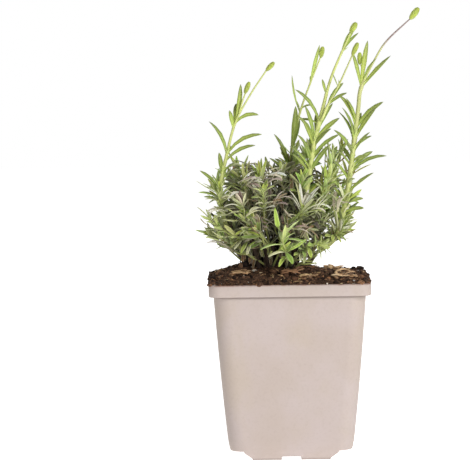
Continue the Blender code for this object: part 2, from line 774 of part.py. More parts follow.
def main():
    clear_scene()
    parts = new_collection("potted_lavender")
    cutters = new_collection("cutters")
    plastic = plain_material("pot_plastic", (0.63, 0.55, 0.50), 0.55)
    compost = plain_material("soil", (0.06, 0.035, 0.02), 0.95)
    bark = plain_material("bark", (0.24, 0.17, 0.12), 0.9)
    leaf = plain_material("young_leaf", (0.22, 0.36, 0.10), 0.6)
    grey_leaf = plain_material("mound_leaf", (0.25, 0.31, 0.20), 0.7)
    bud = plain_material("bud", (0.42, 0.50, 0.14), 0.6)
    chip = plain_material("bark_chip", (0.36, 0.25, 0.15), 0.85)

    pot = build_pot(plastic, parts, cutters)
    soil = build_soil(compost, parts, cutters)
    crown = build_crown(bark, parts, cutters)
    build_chips(chip, parts)
    crowd = Crowd()
    bpy.context.view_layer.update()
    for thing in (pot, soil, crown):
        crowd.add_object(thing)
    build_tall_shoots(leaf, parts, crowd)
    build_buds(bud, parts, crowd)
    build_foliage(grey_leaf, parts, crowd)


main()
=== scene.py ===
"""The looks of the potted lavender: leaves, stems, buds, bark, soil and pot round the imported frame.

The plan is drawn in millimetres, as the model's own is, and built in metres.
"""

import math
import random

import bmesh
import bpy
from mathutils import Matrix, Vector, noise


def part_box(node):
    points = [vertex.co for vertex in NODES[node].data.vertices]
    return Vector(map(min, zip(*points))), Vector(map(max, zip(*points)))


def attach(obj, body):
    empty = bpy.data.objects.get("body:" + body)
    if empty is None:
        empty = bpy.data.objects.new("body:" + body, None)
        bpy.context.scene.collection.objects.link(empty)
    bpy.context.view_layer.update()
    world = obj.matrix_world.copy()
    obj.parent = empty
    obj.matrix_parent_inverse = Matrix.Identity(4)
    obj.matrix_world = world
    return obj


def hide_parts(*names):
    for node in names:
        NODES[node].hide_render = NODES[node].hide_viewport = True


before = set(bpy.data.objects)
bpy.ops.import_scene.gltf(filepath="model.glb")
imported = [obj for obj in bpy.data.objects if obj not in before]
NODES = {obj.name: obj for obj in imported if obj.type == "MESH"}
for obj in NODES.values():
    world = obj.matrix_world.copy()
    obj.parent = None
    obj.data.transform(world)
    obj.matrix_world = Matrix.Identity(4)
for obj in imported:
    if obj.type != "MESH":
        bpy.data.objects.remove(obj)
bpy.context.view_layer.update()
MM = 0.001

# --- plan: the same sizes as the model --------------------------------------------------------

# The pot's rim and wall, as half-widths and heights; the wall bulges a little and tucks in at its foot.
RIM_HALF = 45.0
RIM_TOP = 99.1
RIM_BAND = 6.8
RIM_LIP = 1.1
WALL_HALF_TOP = 42.4
WALL_HALF_FOOT = 34.2
WALL_BULGE = 0.5
FOOT_TUCK = 1.6
FOOT_TUCK_HEIGHT = 12.0
WALL = 1.0
WALL_CORNER = 9.5
RIM_CORNER = 6.5
CORNER_STEPS = 12

# Its base: where its raised left and right edges start and how high they are, its grooves and drains.
FOOT_HALF = 21.6
EDGE_FLAT = 26.6
EDGE_LIFT = 5.0
GROOVE_HALF = 5.5
GROOVE_LIFT = 2.3
GROOVE_INNER = 20.0
DRAIN_RADIUS = 3.5
DRAIN_PLACE = 14.0

# The soil, the middle of the plant's crown, and the woody neck.
SOIL_EDGE = 97.6
SOIL_SHOULDER = 3.2
SOIL_RISE = 4.6
CROWN_X = -8.0
CROWN_Y = 1.0
CROWN_SPREAD = 21.0
NECK_X = -12.0
NECK_STEMS = 30

# The rootstock's top, and the branches that leave it.
STUB_TOP = 104.6
STUB_RADIUS_TOP = 12.5
BRANCH_RADIUS_FOOT = 1.9
BRANCH_RADIUS_TIP = 1.1
BRANCH_TIPS = [
    (-29.0, -3.0, 117.0), (-1.0, 0.0, 124.0), (4.0, -8.0, 116.5), (16.0, -4.0, 112.5), (-12.0, -14.0, 118.0),
    (-22.0, 12.0, 119.0), (-6.0, 14.0, 121.0), (10.0, 13.0, 117.0), (-20.0, -6.0, 121.0),
]

# --- colours -----------------------------------------------------------------------------------


def rgb(red, green, blue):
    """A screen colour, 0 to 255, as the linear values that shaders use."""
    return tuple(
        value / 255 / 12.92 if value / 255 <= 0.04045 else ((value / 255 + 0.055) / 1.055) ** 2.4
        for value in (red, green, blue)
    )


def mixed(first, second, share):
    """The first tint at share 0, the second at share 1."""
    return tuple(a + (b - a) * share for a, b in zip(first, second))


def varied(tint, chance, amount=0.12):
    """The tint, a little lighter or darker and a little warmer or cooler."""
    light = 1 + chance.uniform(-amount, amount)
    warm = chance.uniform(-amount, amount) * 0.5
    return (tint[0] * light * (1 + warm), tint[1] * light, tint[2] * light * (1 - warm))


LEAF_TINTS = {
    "green": rgb(148, 168, 70),
    "deep": rgb(104, 122, 46),
    "young": rgb(192, 210, 94),
    "bright": rgb(172, 206, 84),
    "grey": rgb(188, 192, 132),
    "silver": rgb(242, 239, 224),
    "pale": rgb(240, 239, 196),
    "purple": rgb(158, 128, 126),
    "mauve": rgb(208, 182, 176),
    "olive": rgb(168, 170, 70),
    "brown": rgb(150, 108, 70),
    "dark": rgb(56, 46, 28),
}
LEAF_TIP = rgb(102, 112, 62)
# Painted shade deep inside the mound, partly also the colour of its older leaves.
INNER_SHADE_AND_AGE_TINT = rgb(34, 26, 14)
STEM_GREEN = rgb(214, 220, 142)
STEM_YOUNG = rgb(212, 220, 132)
STEM_STALK = rgb(186, 190, 116)
STEM_WOOD = rgb(120, 92, 66)
BUD_TINT = rgb(168, 184, 62)
BUD_DEEP = rgb(108, 124, 44)
BARK_TINT = rgb(50, 37, 29)
BARK_PALE = rgb(68, 52, 39)
SOIL_DARK = rgb(44, 29, 23)
SOIL_MID = rgb(106, 78, 61)
SOIL_BROWN = rgb(158, 118, 88)
SOIL_TAN = rgb(240, 204, 154)
SOIL_PALE = rgb(214, 204, 190)

# --- plan of the plant -------------------------------------------------------------------------


# Tall shoots: the width of each stem at some heights, its middle line, its leaves as (height, reach,
# breadth, bow), the heights between which short leaves hide it, and its side stalks as (height, reach).
# Above its last leaves a stem is only a thin flower stalk. A stalk may have a tint of its own, which
# shows plainly from a share of the stem's length on.
TALL_SHOOTS = {
    "shoot_left": {
        "width": [(118, 2.3), (150, 2.1), (184, 1.4), (194, 1), (215, 0.85)],
        "stem": [(-29.6, -3.4, 118.6), (-36, -9, 134), (-38, -10, 150), (-34, -8, 169),
                 (-29, -6, 187), (-20.5, -5, 202.5), (-11.2, -4, 216.2)],
        "leaves": [
            (186.5, (3.5, 3, 21.5), 2.5, -1), (186.5, (0.9, 7, 11), 2.2, 1),
            (186.5, (13, -1, 4.8), 2.3, 2.6), (184, (-2, -3, 10), 2.4, 0.4),
            (169, (-9.3, -2, 18.6), 2.6, 2.4), (169, (19.2, -2, 11.2), 2.4, 3.6),
            (165.5, (16.5, 10, 8.2), 2.3, 2.4), (158.5, (-1.6, -4, 12), 3.2, 0),
            (158.5, (7.4, -5, 6.6), 2.3, 1),
            (155.5, (7.5, 7, 4), 2.2, 1), (150, (-10.7, -2, 10.5), 2.5, 1), (150, (2, 9, 6), 2.4, 1),
            (143, (-9, -1, 3), 2.3, 1), (143, (7.5, -6, 7), 2.3, 1),
        ],
        "hidden": (116, 153),
        "stalks": [(192.5, (3.6, 0, 11.6))],
    },
    "shoot_thin": {
        "width": [(125, 1.7), (180, 1.3), (212, 0.9), (223, 0.8)],
        "stem": [(-0.6, 0.4, 125.6), (1, 2, 143), (2, 5, 165), (5, 6, 182), (10.5, 6, 200), (19.9, 6, 223.4)],
        "leaves": [
            (208.5, (5.4, -1, 20.8), 2, 0.2), (194, (6, -1, 2), 1.6, 1), (192, (-4, 1, 20.4), 1.2, -1),
            (171, (2.4, -4, 24), 3.4, -1), (171, (4.8, 5, 16.4), 2.8, 0), (158.5, (-8.4, -3, 21), 2.5, 2),
            (158.5, (8.7, 3, 11), 2.6, 1), (155.5, (-11, -6, 11), 3.4, 1), (152, (-9, 8, 10), 2.8, 1),
            (152, (6, 8, 9), 2.6, 1),
        ],
        "hidden": (128, 164),
    },
    "shoot_centre": {
        "width": [(118, 2.8), (176, 2.6), (196, 2), (204, 1.6), (228, 1.2), (237, 0.9)],
        "stem": [(4.4, -9, 118.2), (7, -16, 134), (11, -17, 152), (15, -14, 175), (20, -12, 194),
                 (25.5, -11, 213), (36.3, -10, 237)],
        "leaves": [
            (226, (7.4, 3, 13.2), 2.3, 0.8), (226, (9.4, 4, 10.4), 1.7, 0.8), (202.5, (-2, 1, 8.4), 1.6, 0),
            (187, (-12.7, -3, 18), 2.4, 2.6), (180, (1, 10, 12), 2.4, 1),
            (176.5, (-5, -2, 19.4), 2.3, 1), (176.5, (13.6, 1, 12.4), 3, 1), (173.5, (9.4, -8, 10), 3.4, 1),
            (173.5, (-6, -7, 15), 2.4, 1), (164.5, (-4.6, -5, 12.2), 3, 0.6), (164.5, (7, 8, 9), 2.6, 1),
            (158.5, (-9, -7, 11), 2.8, 1), (158.5, (12, -2, 16.2), 3, 1),
            (186, (-10.6, 2, 2.6), 1.6, 1.4), (176.5, (-9, -4, 14), 2.2, 1.5), (180, (9.5, 4, 17), 2.2, 1),
            (168, (-7.5, -4, 12), 2.4, 1), (168, (15, -3, 12), 2.5, 1.4), (161, (-11, -5, 13), 2.4, 1.4),
        ],
        "hidden": (120, 149),
    },
    "shoot_centre_side": {
        "width": [(188, 1.7), (197, 1.4), (208, 1), (222, 0.8)],
        "stalk_tint": rgb(140, 134, 112),
        "stem": [(18.6, -13.2, 188.2), (19.9, -14.6, 189.6), (22.6, -15.2, 196), (26.4, -15.2, 202.5),
                 (30.5, -15, 210.5), (36.9, -15, 224.4)],
        "leaves": [
            (196.5, (8.6, 0, 12.2), 2.3, 1), (196.5, (10.4, -4, 6.8), 2.2, 1), (196.5, (5.5, 7, 8), 2.2, 1),
            (207, (-3, -3, 7), 1.8, 0),
        ],
    },
    "shoot_right": {
        "width": [(114, 2.9), (170, 2.6), (207, 2.1), (214, 1.3), (224, 1.05), (236, 0.95), (244, 0.7)],
        "stem": [(17.2, -5.2, 114.2), (26, -11, 122), (31, -15, 137), (34.5, -15, 155), (37, -14, 173),
                 (40, -12, 194), (42, -10, 206.5), (50.5, -8, 223), (57, -7, 232.5), (69.9, -5, 244.2)],
        "leaves": [
            (209, (7.4, -4, 13), 1.3, 1.6), (206, (-4.9, -2, 19.8), 2.4, 0.6),
            (206, (16.1, 0, 17.1), 3, 0.6), (206, (3.9, 2, 25.3), 2.9, 0.6),
            (183, (-9, -1, 18.6), 2.6, 2.6), (183, (15, -2, 14.6), 3.4, 1.6),
            (179.5, (-7, -6, 15.4), 2.3, 1.4), (179.5, (4, 9, 12), 2.6, 1), (176.5, (12, -3, 17.8), 2.8, 1),
            (176.5, (-3, -9, 13), 2.2, 1), (172, (10, -1, 7), 2.5, 1), (169, (-10, -1, 13.4), 2.8, 1.6),
            (169, (-3, -8, 7), 2.4, 1), (164, (8, -4, 4), 2.3, 1.4), (164, (-5, 9, 9), 2.4, 1),
            (157.5, (19.8, -1, 10), 2.6, 3.4), (152, (3, -7.5, 4), 2.4, 1), (147, (14.4, -3, 11.4), 2.8, 1),
            (147, (3, 9, 6), 2.4, 1), (141, (10, 2, 3), 2.4, 1), (136.5, (11, -6, 2.6), 2.4, 1),
            (131.5, (7, -4, 2), 2.2, 1), (161, (12, 4, 9), 2.6, 1), (154, (-9, -4, 12), 2.6, 1),
            (176.5, (-8.4, -2, 16), 2.4, 1.6), (186, (-5.4, -3, 14), 2, 1), (169, (9.4, -3, 12), 2.3, 1),
            (162, (-8.5, -4, 10), 2.5, 1), (145, (-8, -5, 10), 2.4, 1), (139, (-7, -6, 8), 2.4, 1),
        ],
        "hidden": (116, 142),
        "stalks": [(210.5, (-1.8, 1, 8.4))],
        "stalk_tint": rgb(150, 130, 126),
        "plain_from": 0.83,
    },
}

# Flower buds: foot, direction, length and thickness.
BUDS = {
    "bud_left": ((-10.6, -3.9, 216.8), (0.70, 0.1, 0.71), 6.6, 2.9),
    "bud_left_side": ((-23, -5.9, 204.4), (0.38, 0, 0.92), 7, 2.9),
    "bud_thin": ((20.1, 6, 223.7), (0.2, 0, 0.98), 6.4, 3),
    "bud_centre": ((36.6, -10, 237.6), (0.52, 0.05, 0.86), 6.6, 3.6),
    "bud_centre_side": ((37.2, -15, 225), (0.42, 0, 0.91), 7.8, 3),
    "bud_right": ((70.4, -4.9, 244.6), (0.62, 0.05, 0.79), 8, 3.9),
    "bud_right_side": ((41.3, -8.4, 219.8), (0.02, 0, 1), 6.8, 2.9),
}

# Sprigs that face the front: the stem, and its leaves as (share of the stem, tip, breadth, bow, tint).
FRONT_SPRIGS = {
    "foliage_01": ([(-3, -6, 116), (3, -18, 128), (7.5, -27, 137.5)], [
        (1, (0, -35, 151), 2.7, 1.2, "silver"), (0.96, (1.5, -37, 147.4), 2.4, 0.8, "silver"),
        (1, (3.6, -31, 156), 2.5, 0.8, "grey"), (0.96, (6.4, -25, 154.5), 2.5, 0.6, "silver"),
        (1, (17.6, -31, 152.4), 3.4, 1.4, "silver"), (0.94, (16.4, -37, 149.6), 2.9, 1.2, "silver"),
        (0.9, (14, -39, 146.4), 2.6, 0.8, "grey"), (0.98, (11.6, -24, 150.5), 2.6, 0.4, "silver"),
        (0.9, (18.2, -38, 139.6), 3.2, 1.2, "young"), (0.85, (16.6, -40, 143), 1.6, 1.6, "pale"),
        (0.8, (0, -36, 137), 2.2, 1.6, "pale"), (0.78, (-3, -38, 141), 2.4, -1.6, "mauve"),
        (0.85, (23, -36, 150.5), 1.9, -1.5, "pale"), (0.8, (22, -38, 144), 2.2, -1, "young"),
    ]),
    "foliage_02": ([(-14, -6, 116), (-21, -18, 130), (-25.2, -27, 140.4)], [
        (1, (-29, -35, 149.8), 3.2, -0.6, "mauve"), (0.98, (-27, -31, 151), 3.6, 0, "purple"),
        (1, (-23.6, -35, 149.6), 2.4, 0.6, "pale"), (0.94, (-34.2, -37, 147.4), 2.4, 2.2, "grey"),
        (0.9, (-36, -35, 141.8), 2.5, 3.2, "silver"), (0.97, (-31.4, -38, 146.4), 2.4, 1.2, "grey"),
        (1, (-21.6, -33, 146), 2.4, 0.8, "grey"), (0.8, (-37.4, -33, 135.6), 2.8, -2, "olive"),
        (0.85, (-34, -38, 138), 2.2, 1.6, "grey"), (0.75, (-17.5, -35, 135), 2.6, 1.4, "mauve"),
    ]),
    "foliage_03": ([(-14, -4, 122), (-20, -12, 138), (-23.4, -19, 149.6)], [
        (1, (-25.3, -25, 166), 3, 0.2, "olive"), (1, (-22.4, -22, 165.6), 2, 0.4, "young"),
        (0.96, (-27.2, -20, 163.4), 2, 0.8, "green"), (0.97, (-24.4, -27, 161), 2.6, 0.4, "olive"),
        (0.95, (-20.8, -24, 160), 2.2, 0.6, "olive"), (0.85, (-29, -25, 156.6), 2.2, 1, "green"),
        (0.8, (-31.5, -24, 152.8), 2.4, 1.4, "green"),
    ]),
    "foliage_05": ([(-10, -8, 118), (-13.4, -22, 133), (-13.8, -33, 149.2)], [
        (1, (-7.6, -39, 153.4), 3, 0.8, "young"), (0.96, (-20, -39, 152.2), 2.6, 1, "young"),
        (1, (-11.2, -31, 156.8), 2.4, 0.4, "green"), (0.98, (-17.3, -35, 156), 2.4, 0.4, "green"),
        (0.9, (-6.6, -41, 148.2), 2.6, 1, "green"), (0.9, (-20.6, -41, 147), 2.6, 1, "green"),
        (0.72, (-22, -43, 139.2), 2.8, 2, "pale"), (0.68, (-24, -41, 136.6), 2.8, 2, "pale"),
        (0.8, (-18.4, -45, 143.6), 2.4, 1.2, "pale"), (0.72, (-7.6, -44, 142.4), 2.4, 0.8, "silver"),
        (0.68, (-7, -42, 139.6), 2.4, 1, "grey"), (0.8, (-8.6, -43, 145), 2.2, 0.6, "pale"),
    ]),
    "foliage_04": ([(-10, -4, 124), (-14, -12, 140), (-15.3, -21, 153.5)], [
        (1, (-16.3, -20, 167), 2.4, 0.2, "olive"), (1, (-18.4, -24, 166.4), 2.4, 0.4, "young"),
        (1, (-14.6, -16, 168), 2, 0.2, "green"), (0.98, (-11.8, -22, 167.2), 2.4, 0.4, "young"),
        (0.96, (-20.4, -18, 164.6), 2.2, 0.6, "green"), (0.97, (-13.6, -29, 164.4), 2.8, 0.6, "young"),
        (0.84, (-21.2, -31, 158), 2.6, 0.2, "purple"), (0.8, (-24, -29, 157), 2.8, 0.4, "mauve"),
        (0.86, (-18.8, -28, 159), 2.4, 0.4, "silver"), (0.76, (-23, -33, 153.8), 2.6, 0.4, "purple"),
        (0.72, (-20, -34, 154), 2.4, 0.8, "silver"), (0.9, (-9, -28, 158), 2.4, 0.8, "grey"),
    ]),
    "foliage_06": ([(-1.5, -10, 106), (-1, -24, 110.5), (-2, -34, 117.5), (-3.6, -38, 122.2),
                    (-3, -40, 125.8)], [
        (0.86, (-7.8, -46, 142.4), 3.2, -1.2, "bright"), (0.92, (-2, -47, 132.8), 2.6, -1, "young"),
        (0.96, (5.6, -47, 135), 3.8, 0.8, "bright"), (0.94, (9.4, -47, 122.4), 3.2, 1, "bright"),
        (0.84, (-16.6, -47, 118.6), 3.6, 1.4, "bright"), (0.66, (-11.8, -43, 114.4), 3.2, 1.2, "pale"),
        (0.64, (1.6, -46, 110.6), 3.6, 0.6, "bright"), (1, (-0.6, -47, 131), 2, 0.4, "young"),
        (0.9, (3.5, -46, 128), 2, 0.8, "young"), (0.5, (-6, -40, 108.5), 2.6, 1.6, "young"),
    ]),
    "foliage_07": ([(0, -6, 106), (6, -22, 114), (12.9, -28, 119.6), (18.6, -28, 119)], [
        (0.7, (4.4, -35, 122.4), 2.2, 0.6, "young"), (0.66, (5.2, -39, 118.4), 2.4, 0.6, "bright"),
        (0.55, (2.4, -37, 114.6), 2.2, 0.8, "young"), (0.6, (5.8, -37, 111.6), 2.4, 0.8, "pale"),
        (0.64, (8.4, -39, 114), 2.4, 0.6, "bright"), (0.75, (12, -38, 113.2), 3.2, 0.8, "young"),
        (0.95, (17.6, -33, 111.2), 2.6, 1.2, "green"), (1, (20.4, -29, 113), 2.2, 1, "green"),
        (1, (22.4, -28, 118), 2.2, 0.6, "young"), (0.8, (9.5, -36, 127), 2.4, 0.4, "young"),
        (0.88, (14.4, -36, 126.2), 2.4, 0.4, "bright"), (0.96, (18, -32, 125.6), 2.4, 0.4, "young"),
        (1, (22.6, -30, 123), 2.2, 0.4, "green"), (0.85, (10, -40, 120.4), 2.4, 0.6, "bright"),
        (0.92, (15.4, -39, 117.6), 2.4, 0.6, "young"), (0.72, (8, -34, 109.6), 2.2, 0.8, "grey"),
    ]),
    "foliage_08": ([(10, -6, 112), (21, -11, 121), (29.8, -16, 126)], [
        (1, (36.6, -20, 125.4), 3.8, 0.5, "mauve"), (0.98, (34.4, -21, 129.4), 3.8, 0.3, "silver"),
        (1, (38.4, -17, 131.8), 2.2, -0.6, "grey"), (0.95, (35.8, -19, 136), 3.6, 0.8, "green"),
        (0.84, (35.4, -17, 123), 1.6, -2, "purple"), (0.8, (24, -24, 121.6), 2.8, 0.6, "young"),
        (0.88, (32, -21, 121), 3.2, 0.4, "green"), (0.9, (26, -32, 139.2), 2, 1, "pale"),
        (0.82, (22.4, -30, 134), 2.4, 1, "grey"), (0.94, (29.5, -28, 134), 2.6, 0.6, "silver"),
        (0.75, (20, -28, 124.5), 2.6, 0.4, "young"), (0.85, (29, -26, 120.4), 2.6, 0.4, "young"),
    ]),
    "foliage_09": ([(-14, -4, 112), (-22, -16, 121.5), (-30, -21, 124.4), (-37, -20, 128.4),
                    (-42.6, -18, 133)], [
        (1, (-51, -16, 141), 2, 0.2, "olive"), (1, (-46, -22, 140), 2, 0.4, "green"),
        (0.8, (-49.4, -18, 134.8), 1.8, -2, "purple"), (0.75, (-48.4, -14, 127.6), 1.8, 1, "green"),
        (0.66, (-43, -24, 128.2), 1.8, -2.2, "grey"), (0.55, (-41.6, -12, 116.2), 1.8, 0.4, "grey"),
        (0.5, (-30.4, -29, 117.6), 2.6, 0.6, "pale"), (0.42, (-26.8, -31, 115.6), 3, 0.4, "young"),
        (0.36, (-23.4, -31, 114.6), 2.8, 0.6, "pale"), (0.4, (-26.2, -31, 130.6), 2.6, 0.4, "young"),
        (0.34, (-15.2, -31, 122), 2.8, 1, "pale"), (0.52, (-33, -28, 118.2), 2.2, 0.4, "olive"),
        (0.6, (-36, -28, 131.4), 2.6, 0.4, "olive"), (0.9, (-41, -26, 137), 2.2, 0.4, "young"),
    ]),
    "foliage_10": ([(-26, -6, 112), (-34, -13, 126), (-37.5, -15, 140), (-38, -15, 150)], [
        (1, (-42.5, -14, 159), 2.2, 0.4, "green"), (0.96, (-34, -17, 158), 2.2, 0.4, "young"),
        (0.94, (-45.5, -12, 152), 2, 0.6, "green"), (0.9, (-31, -20, 153), 2.4, 0.6, "green"),
        (0.84, (-46.5, -14, 145), 2.2, 1, "grey"), (0.8, (-30, -21, 147), 2.4, 0.8, "young"),
        (0.74, (-45.6, -18, 138), 2.2, 1, "green"), (0.7, (-29.4, -22, 140), 2.4, 1, "pale"),
        (0.62, (-43.4, -22, 131), 2.4, 1.2, "deep"), (0.58, (-29, -24, 133), 2.4, 1, "grey"),
        (0.88, (-37, -24, 150), 2.4, 0.8, "young"), (0.72, (-37.6, -26, 141), 2.4, 0.8, "green"),
        (0.6, (-36, -27, 133), 2.4, 0.8, "grey"),
    ]),
    "foliage_12": ([(6, -6, 116), (17, -16, 135), (22, -18, 150), (24.5, -17, 160)], [
        (0.92, (20.6, -16, 176.4), 2.6, 0.2, "young"), (0.96, (22.6, -19, 177.2), 2.4, 0.2, "green"),
        (1, (26.4, -17, 174.6), 2.6, 0.4, "green"), (0.95, (29.8, -16, 171.6), 2.8, 0.8, "young"),
        (0.84, (18.4, -21, 163.8), 2.6, 0.6, "young"), (0.84, (31.6, -20, 165), 2.6, 1, "green"),
        (0.74, (14.6, -23, 156.6), 2.8, 1, "grey"), (0.74, (28.6, -24, 158), 2.8, 1, "young"),
        (0.64, (15, -26, 149), 2.6, 1.2, "green"), (0.62, (28, -26, 149), 2.6, 1, "green"),
        (1, (23.5, -21, 171), 2.4, 0.2, "bright"), (0.88, (24, -26, 165), 2.6, 0.4, "young"),
        (0.7, (21, -27, 157), 2.6, 0.6, "bright"),
    ]),
}

# Shoots that stand up among the tall ones: their tips.
RAISED = {
    "foliage_13": (5, -6, 175), "foliage_18": (13, -11, 176), "foliage_20": (28, 8, 172),
    "foliage_22": (9, -24, 160), "foliage_24": (32, -6, 175), "foliage_28": (23, -24, 158),
    "foliage_30": (38, 1, 162), "foliage_16": (11, 12, 172), "foliage_27": (-43, 2, 154),
    "foliage_21": (-34, 11, 160), "foliage_26": (30, 19, 158), "foliage_17": (-29, -3, 166),
}


# --- small geometry ----------------------------------------------------------------------------


class Drawing:
    """Points and faces that become one piece, with a colour and a form mark at each point.

    The form mark is (how far across, how far along, under side), each from 0 to 1. Each closed
    shape has a cell of its own in the piece's atlas, across it from left to right.
    """

    def __init__(self):
        self.points = []
        self.faces = []
        self.corners = []
        self.tints = []
        self.forms = []
        self.cells = 0

    def add(self, place, tint, form=(0.0, 0.0, 0.0)):
        """Adds a point and returns its number."""
        self.points.append(place)
        self.tints.append((*tint, 1.0))
        self.forms.append((*form, 1.0))
        return len(self.points) - 1

    def ring(self, places, tint, forms=None):
        """Adds a row of points of one tint and returns their numbers."""
        return [self.add(place, tint, forms[index] if forms else (0, 0, 0))
                for index, place in enumerate(places)]

    def face(self, points, corners):
        """Adds a face, with the place of each of its corners in the current cell."""
        self.faces.append(tuple(points))
        self.corners.append([(self.cells, *corner) for corner in corners])

    def cap(self, ring, right=0.0, end=True):
        """Closes a ring with one face, unwrapped as a small disc at the cell's foot."""
        turns = [math.tau * index / len(ring) for index in range(len(ring))]
        discs = [(right + 0.04 + 0.035 * math.cos(turn), 0.04 + 0.035 * math.sin(turn)) for turn in turns]
        if end:
            self.face(ring, discs)
        else:
            self.face(ring[::-1], discs[::-1])

    def tube(self, rings, tip=None):
        """Skins a row of rings, and ends them in a face or in a point. Fills one cell."""
        sides = len(rings[0])
        rows = len(rings) - 1 + (tip is not None)
        levels = [0.1 + 0.9 * row / rows for row in range(rows + 1)]
        for row, (lower, upper) in enumerate(zip(rings, rings[1:])):
            low, high = levels[row], levels[row + 1]
            for index in range(sides):
                after = (index + 1) % sides
                left, right = index / sides, (index + 1) / sides
                self.face((lower[index], lower[after], upper[after], upper[index]),
                          ((left, low), (right, low), (right, high), (left, high)))
        self.cap(rings[0], end=False)
        if tip is None:
            self.cap(rings[-1], right=0.5)
        else:
            for index in range(sides):
                left, right = index / sides, (index + 1) / sides
                self.face((rings[-1][index], rings[-1][(index + 1) % sides], tip),
                          ((left, levels[-2]), (right, levels[-2]), ((left + right) / 2, levels[-1])))
        self.cells += 1

    def atlas(self):
        """The corners' places in a square grid of cells."""
        side = max(1, math.ceil(math.sqrt(self.cells)))
        places = []
        for corners in self.corners:
            for cell, across, up in corners:
                places.append((cell % side + 0.02 + 0.96 * across) / side)
                places.append((cell // side + 0.02 + 0.96 * up) / side)
        return places

    def piece(self, name, material, slot, *replaced):
        """Makes the piece, in metres, and gives it to the frame in place of the nodes it stands for."""
        mesh = bpy.data.meshes.new(name)
        mesh.from_pydata([point * MM for point in self.points], [], self.faces)
        for layer, values in (("tint", self.tints), ("form", self.forms)):
            attribute = mesh.color_attributes.new(layer, "FLOAT_COLOR", "POINT")
            attribute.data.foreach_set("color", [channel for value in values for channel in value])
        mesh.uv_layers.new(name="OFBake").data.foreach_set("uv", self.atlas())
        mesh.shade_smooth()
        mesh.materials.append(material)
        place_piece(bpy.data.objects.new(name, mesh), slot, *replaced)


def place_piece(thing, slot, *replaced):
    """Puts a piece in the scene on the frame's root body, and hides the nodes it replaces; its slot is not
    used.
    """
    bpy.context.scene.collection.objects.link(thing)
    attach(thing, "root")
    if replaced:
        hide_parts(*replaced)


def smooth_path(points, steps):
    """A Catmull-Rom curve through the points."""
    points = [Vector(point) for point in points]
    padded = [2 * points[0] - points[1]] + points + [2 * points[-1] - points[-2]]
    path = []
    for a, b, c, d in zip(padded, padded[1:], padded[2:], padded[3:]):
        for step in range(steps):
            t = step / steps
            path.append(0.5 * (2 * b + (c - a) * t + (2 * a - 5 * b + 4 * c - d) * t * t
                               + (3 * b - a - 3 * c + d) * t ** 3))
    return path + [points[-1]]


def path_length(path):
    return sum((end - start).length for start, end in zip(path, path[1:]))


def place_on(path, distance):
    """The point at a distance along the path, and the path's direction there."""
    for start, end in zip(path, path[1:]):
        length = (end - start).length
        if distance <= length and length > 0:
            return start.lerp(end, distance / length), (end - start).normalized()
        distance -= length
    return path[-1].copy(), (path[-1] - path[-2]).normalized()


def distance_at_height(path, height):
    """How far along a rising path it reaches a height."""
    distance = 0.0
    for start, end in zip(path, path[1:]):
        if start.z <= height <= end.z:
            return distance + (end - start).length * (height - start.z) / (end.z - start.z)
        distance += (end - start).length
    return distance


def square_to(vector, direction):
    """The part of a vector that is square to a direction, as a unit vector."""
    part = vector - direction * vector.dot(direction)
    if part.length < 1e-3:
        spare = Vector((1, 0, 0))
        part = spare - direction * spare.dot(direction)
    return part.normalized()


def outward(turn):
    """The level direction at a turn round the upright."""
    return Vector((math.cos(turn), math.sin(turn), 0.0))


# --- leaves and stems --------------------------------------------------------------------------

# Section of a leaf in half-breadths: a grooved upper side, rolled edges and, from UNDER_FROM on, a
# ribbed under side. Then the shares of a leaf's length at which it is drawn.
LEAF_SECTION = [
    (1.0, 0.12), (0.52, 0.15), (0.12, -0.02), (-0.12, -0.02), (-0.52, 0.15), (-1.0, 0.12),
    (-0.88, -0.14), (-0.42, -0.02), (0.0, -0.24), (0.42, -0.02), (0.88, -0.14),
]
UNDER_FROM = 6
LEAF_STATIONS = [0.0, 0.12, 0.32, 0.56, 0.78, 0.92, 1.0]
FRONT = Vector((0.0, -0.92, 0.3))

# The painted shade inside the mound, which partly also stands for its older, duller leaves: its middle,
# its reach across, front to back, up and down, and the share of its own tint that a leaf keeps there.
HEART = Vector((-5.0, 0.0, 124.0))
HEART_ACROSS = 42.0
HEART_DEPTH = 38.0
HEART_UP = 46.0
HEART_DOWN = 22.0
DARKEST = 0.1


def leaf_width(share, blunt):
    """Breadth along a leaf: narrow at its foot, broadest past the middle, then in to its tip."""
    rise = min(1.0, share / 0.6)
    body = 0.4 + 0.6 * rise * rise * (3 - 2 * rise)
    tip = max(0.0, (share - blunt) / (1 - blunt))
    return body * max(0.0, 1 - tip ** 1.7) ** 0.65


def inner_shade(place):
    """How light a leaf is at a place in the mound: painted shade that darkens it towards the mound's middle,
    partly also older, duller leaves inside and fresh ones at its surface.
    """
    rise = place.z - HEART.z
    rise /= HEART_UP if rise > 0 else HEART_DOWN
    away = Vector(((place.x - HEART.x) / HEART_ACROSS, (place.y - HEART.y) / HEART_DEPTH, rise)).length
    return min(1.0, max(DARKEST, DARKEST + 2.5 * (away - 0.5)))


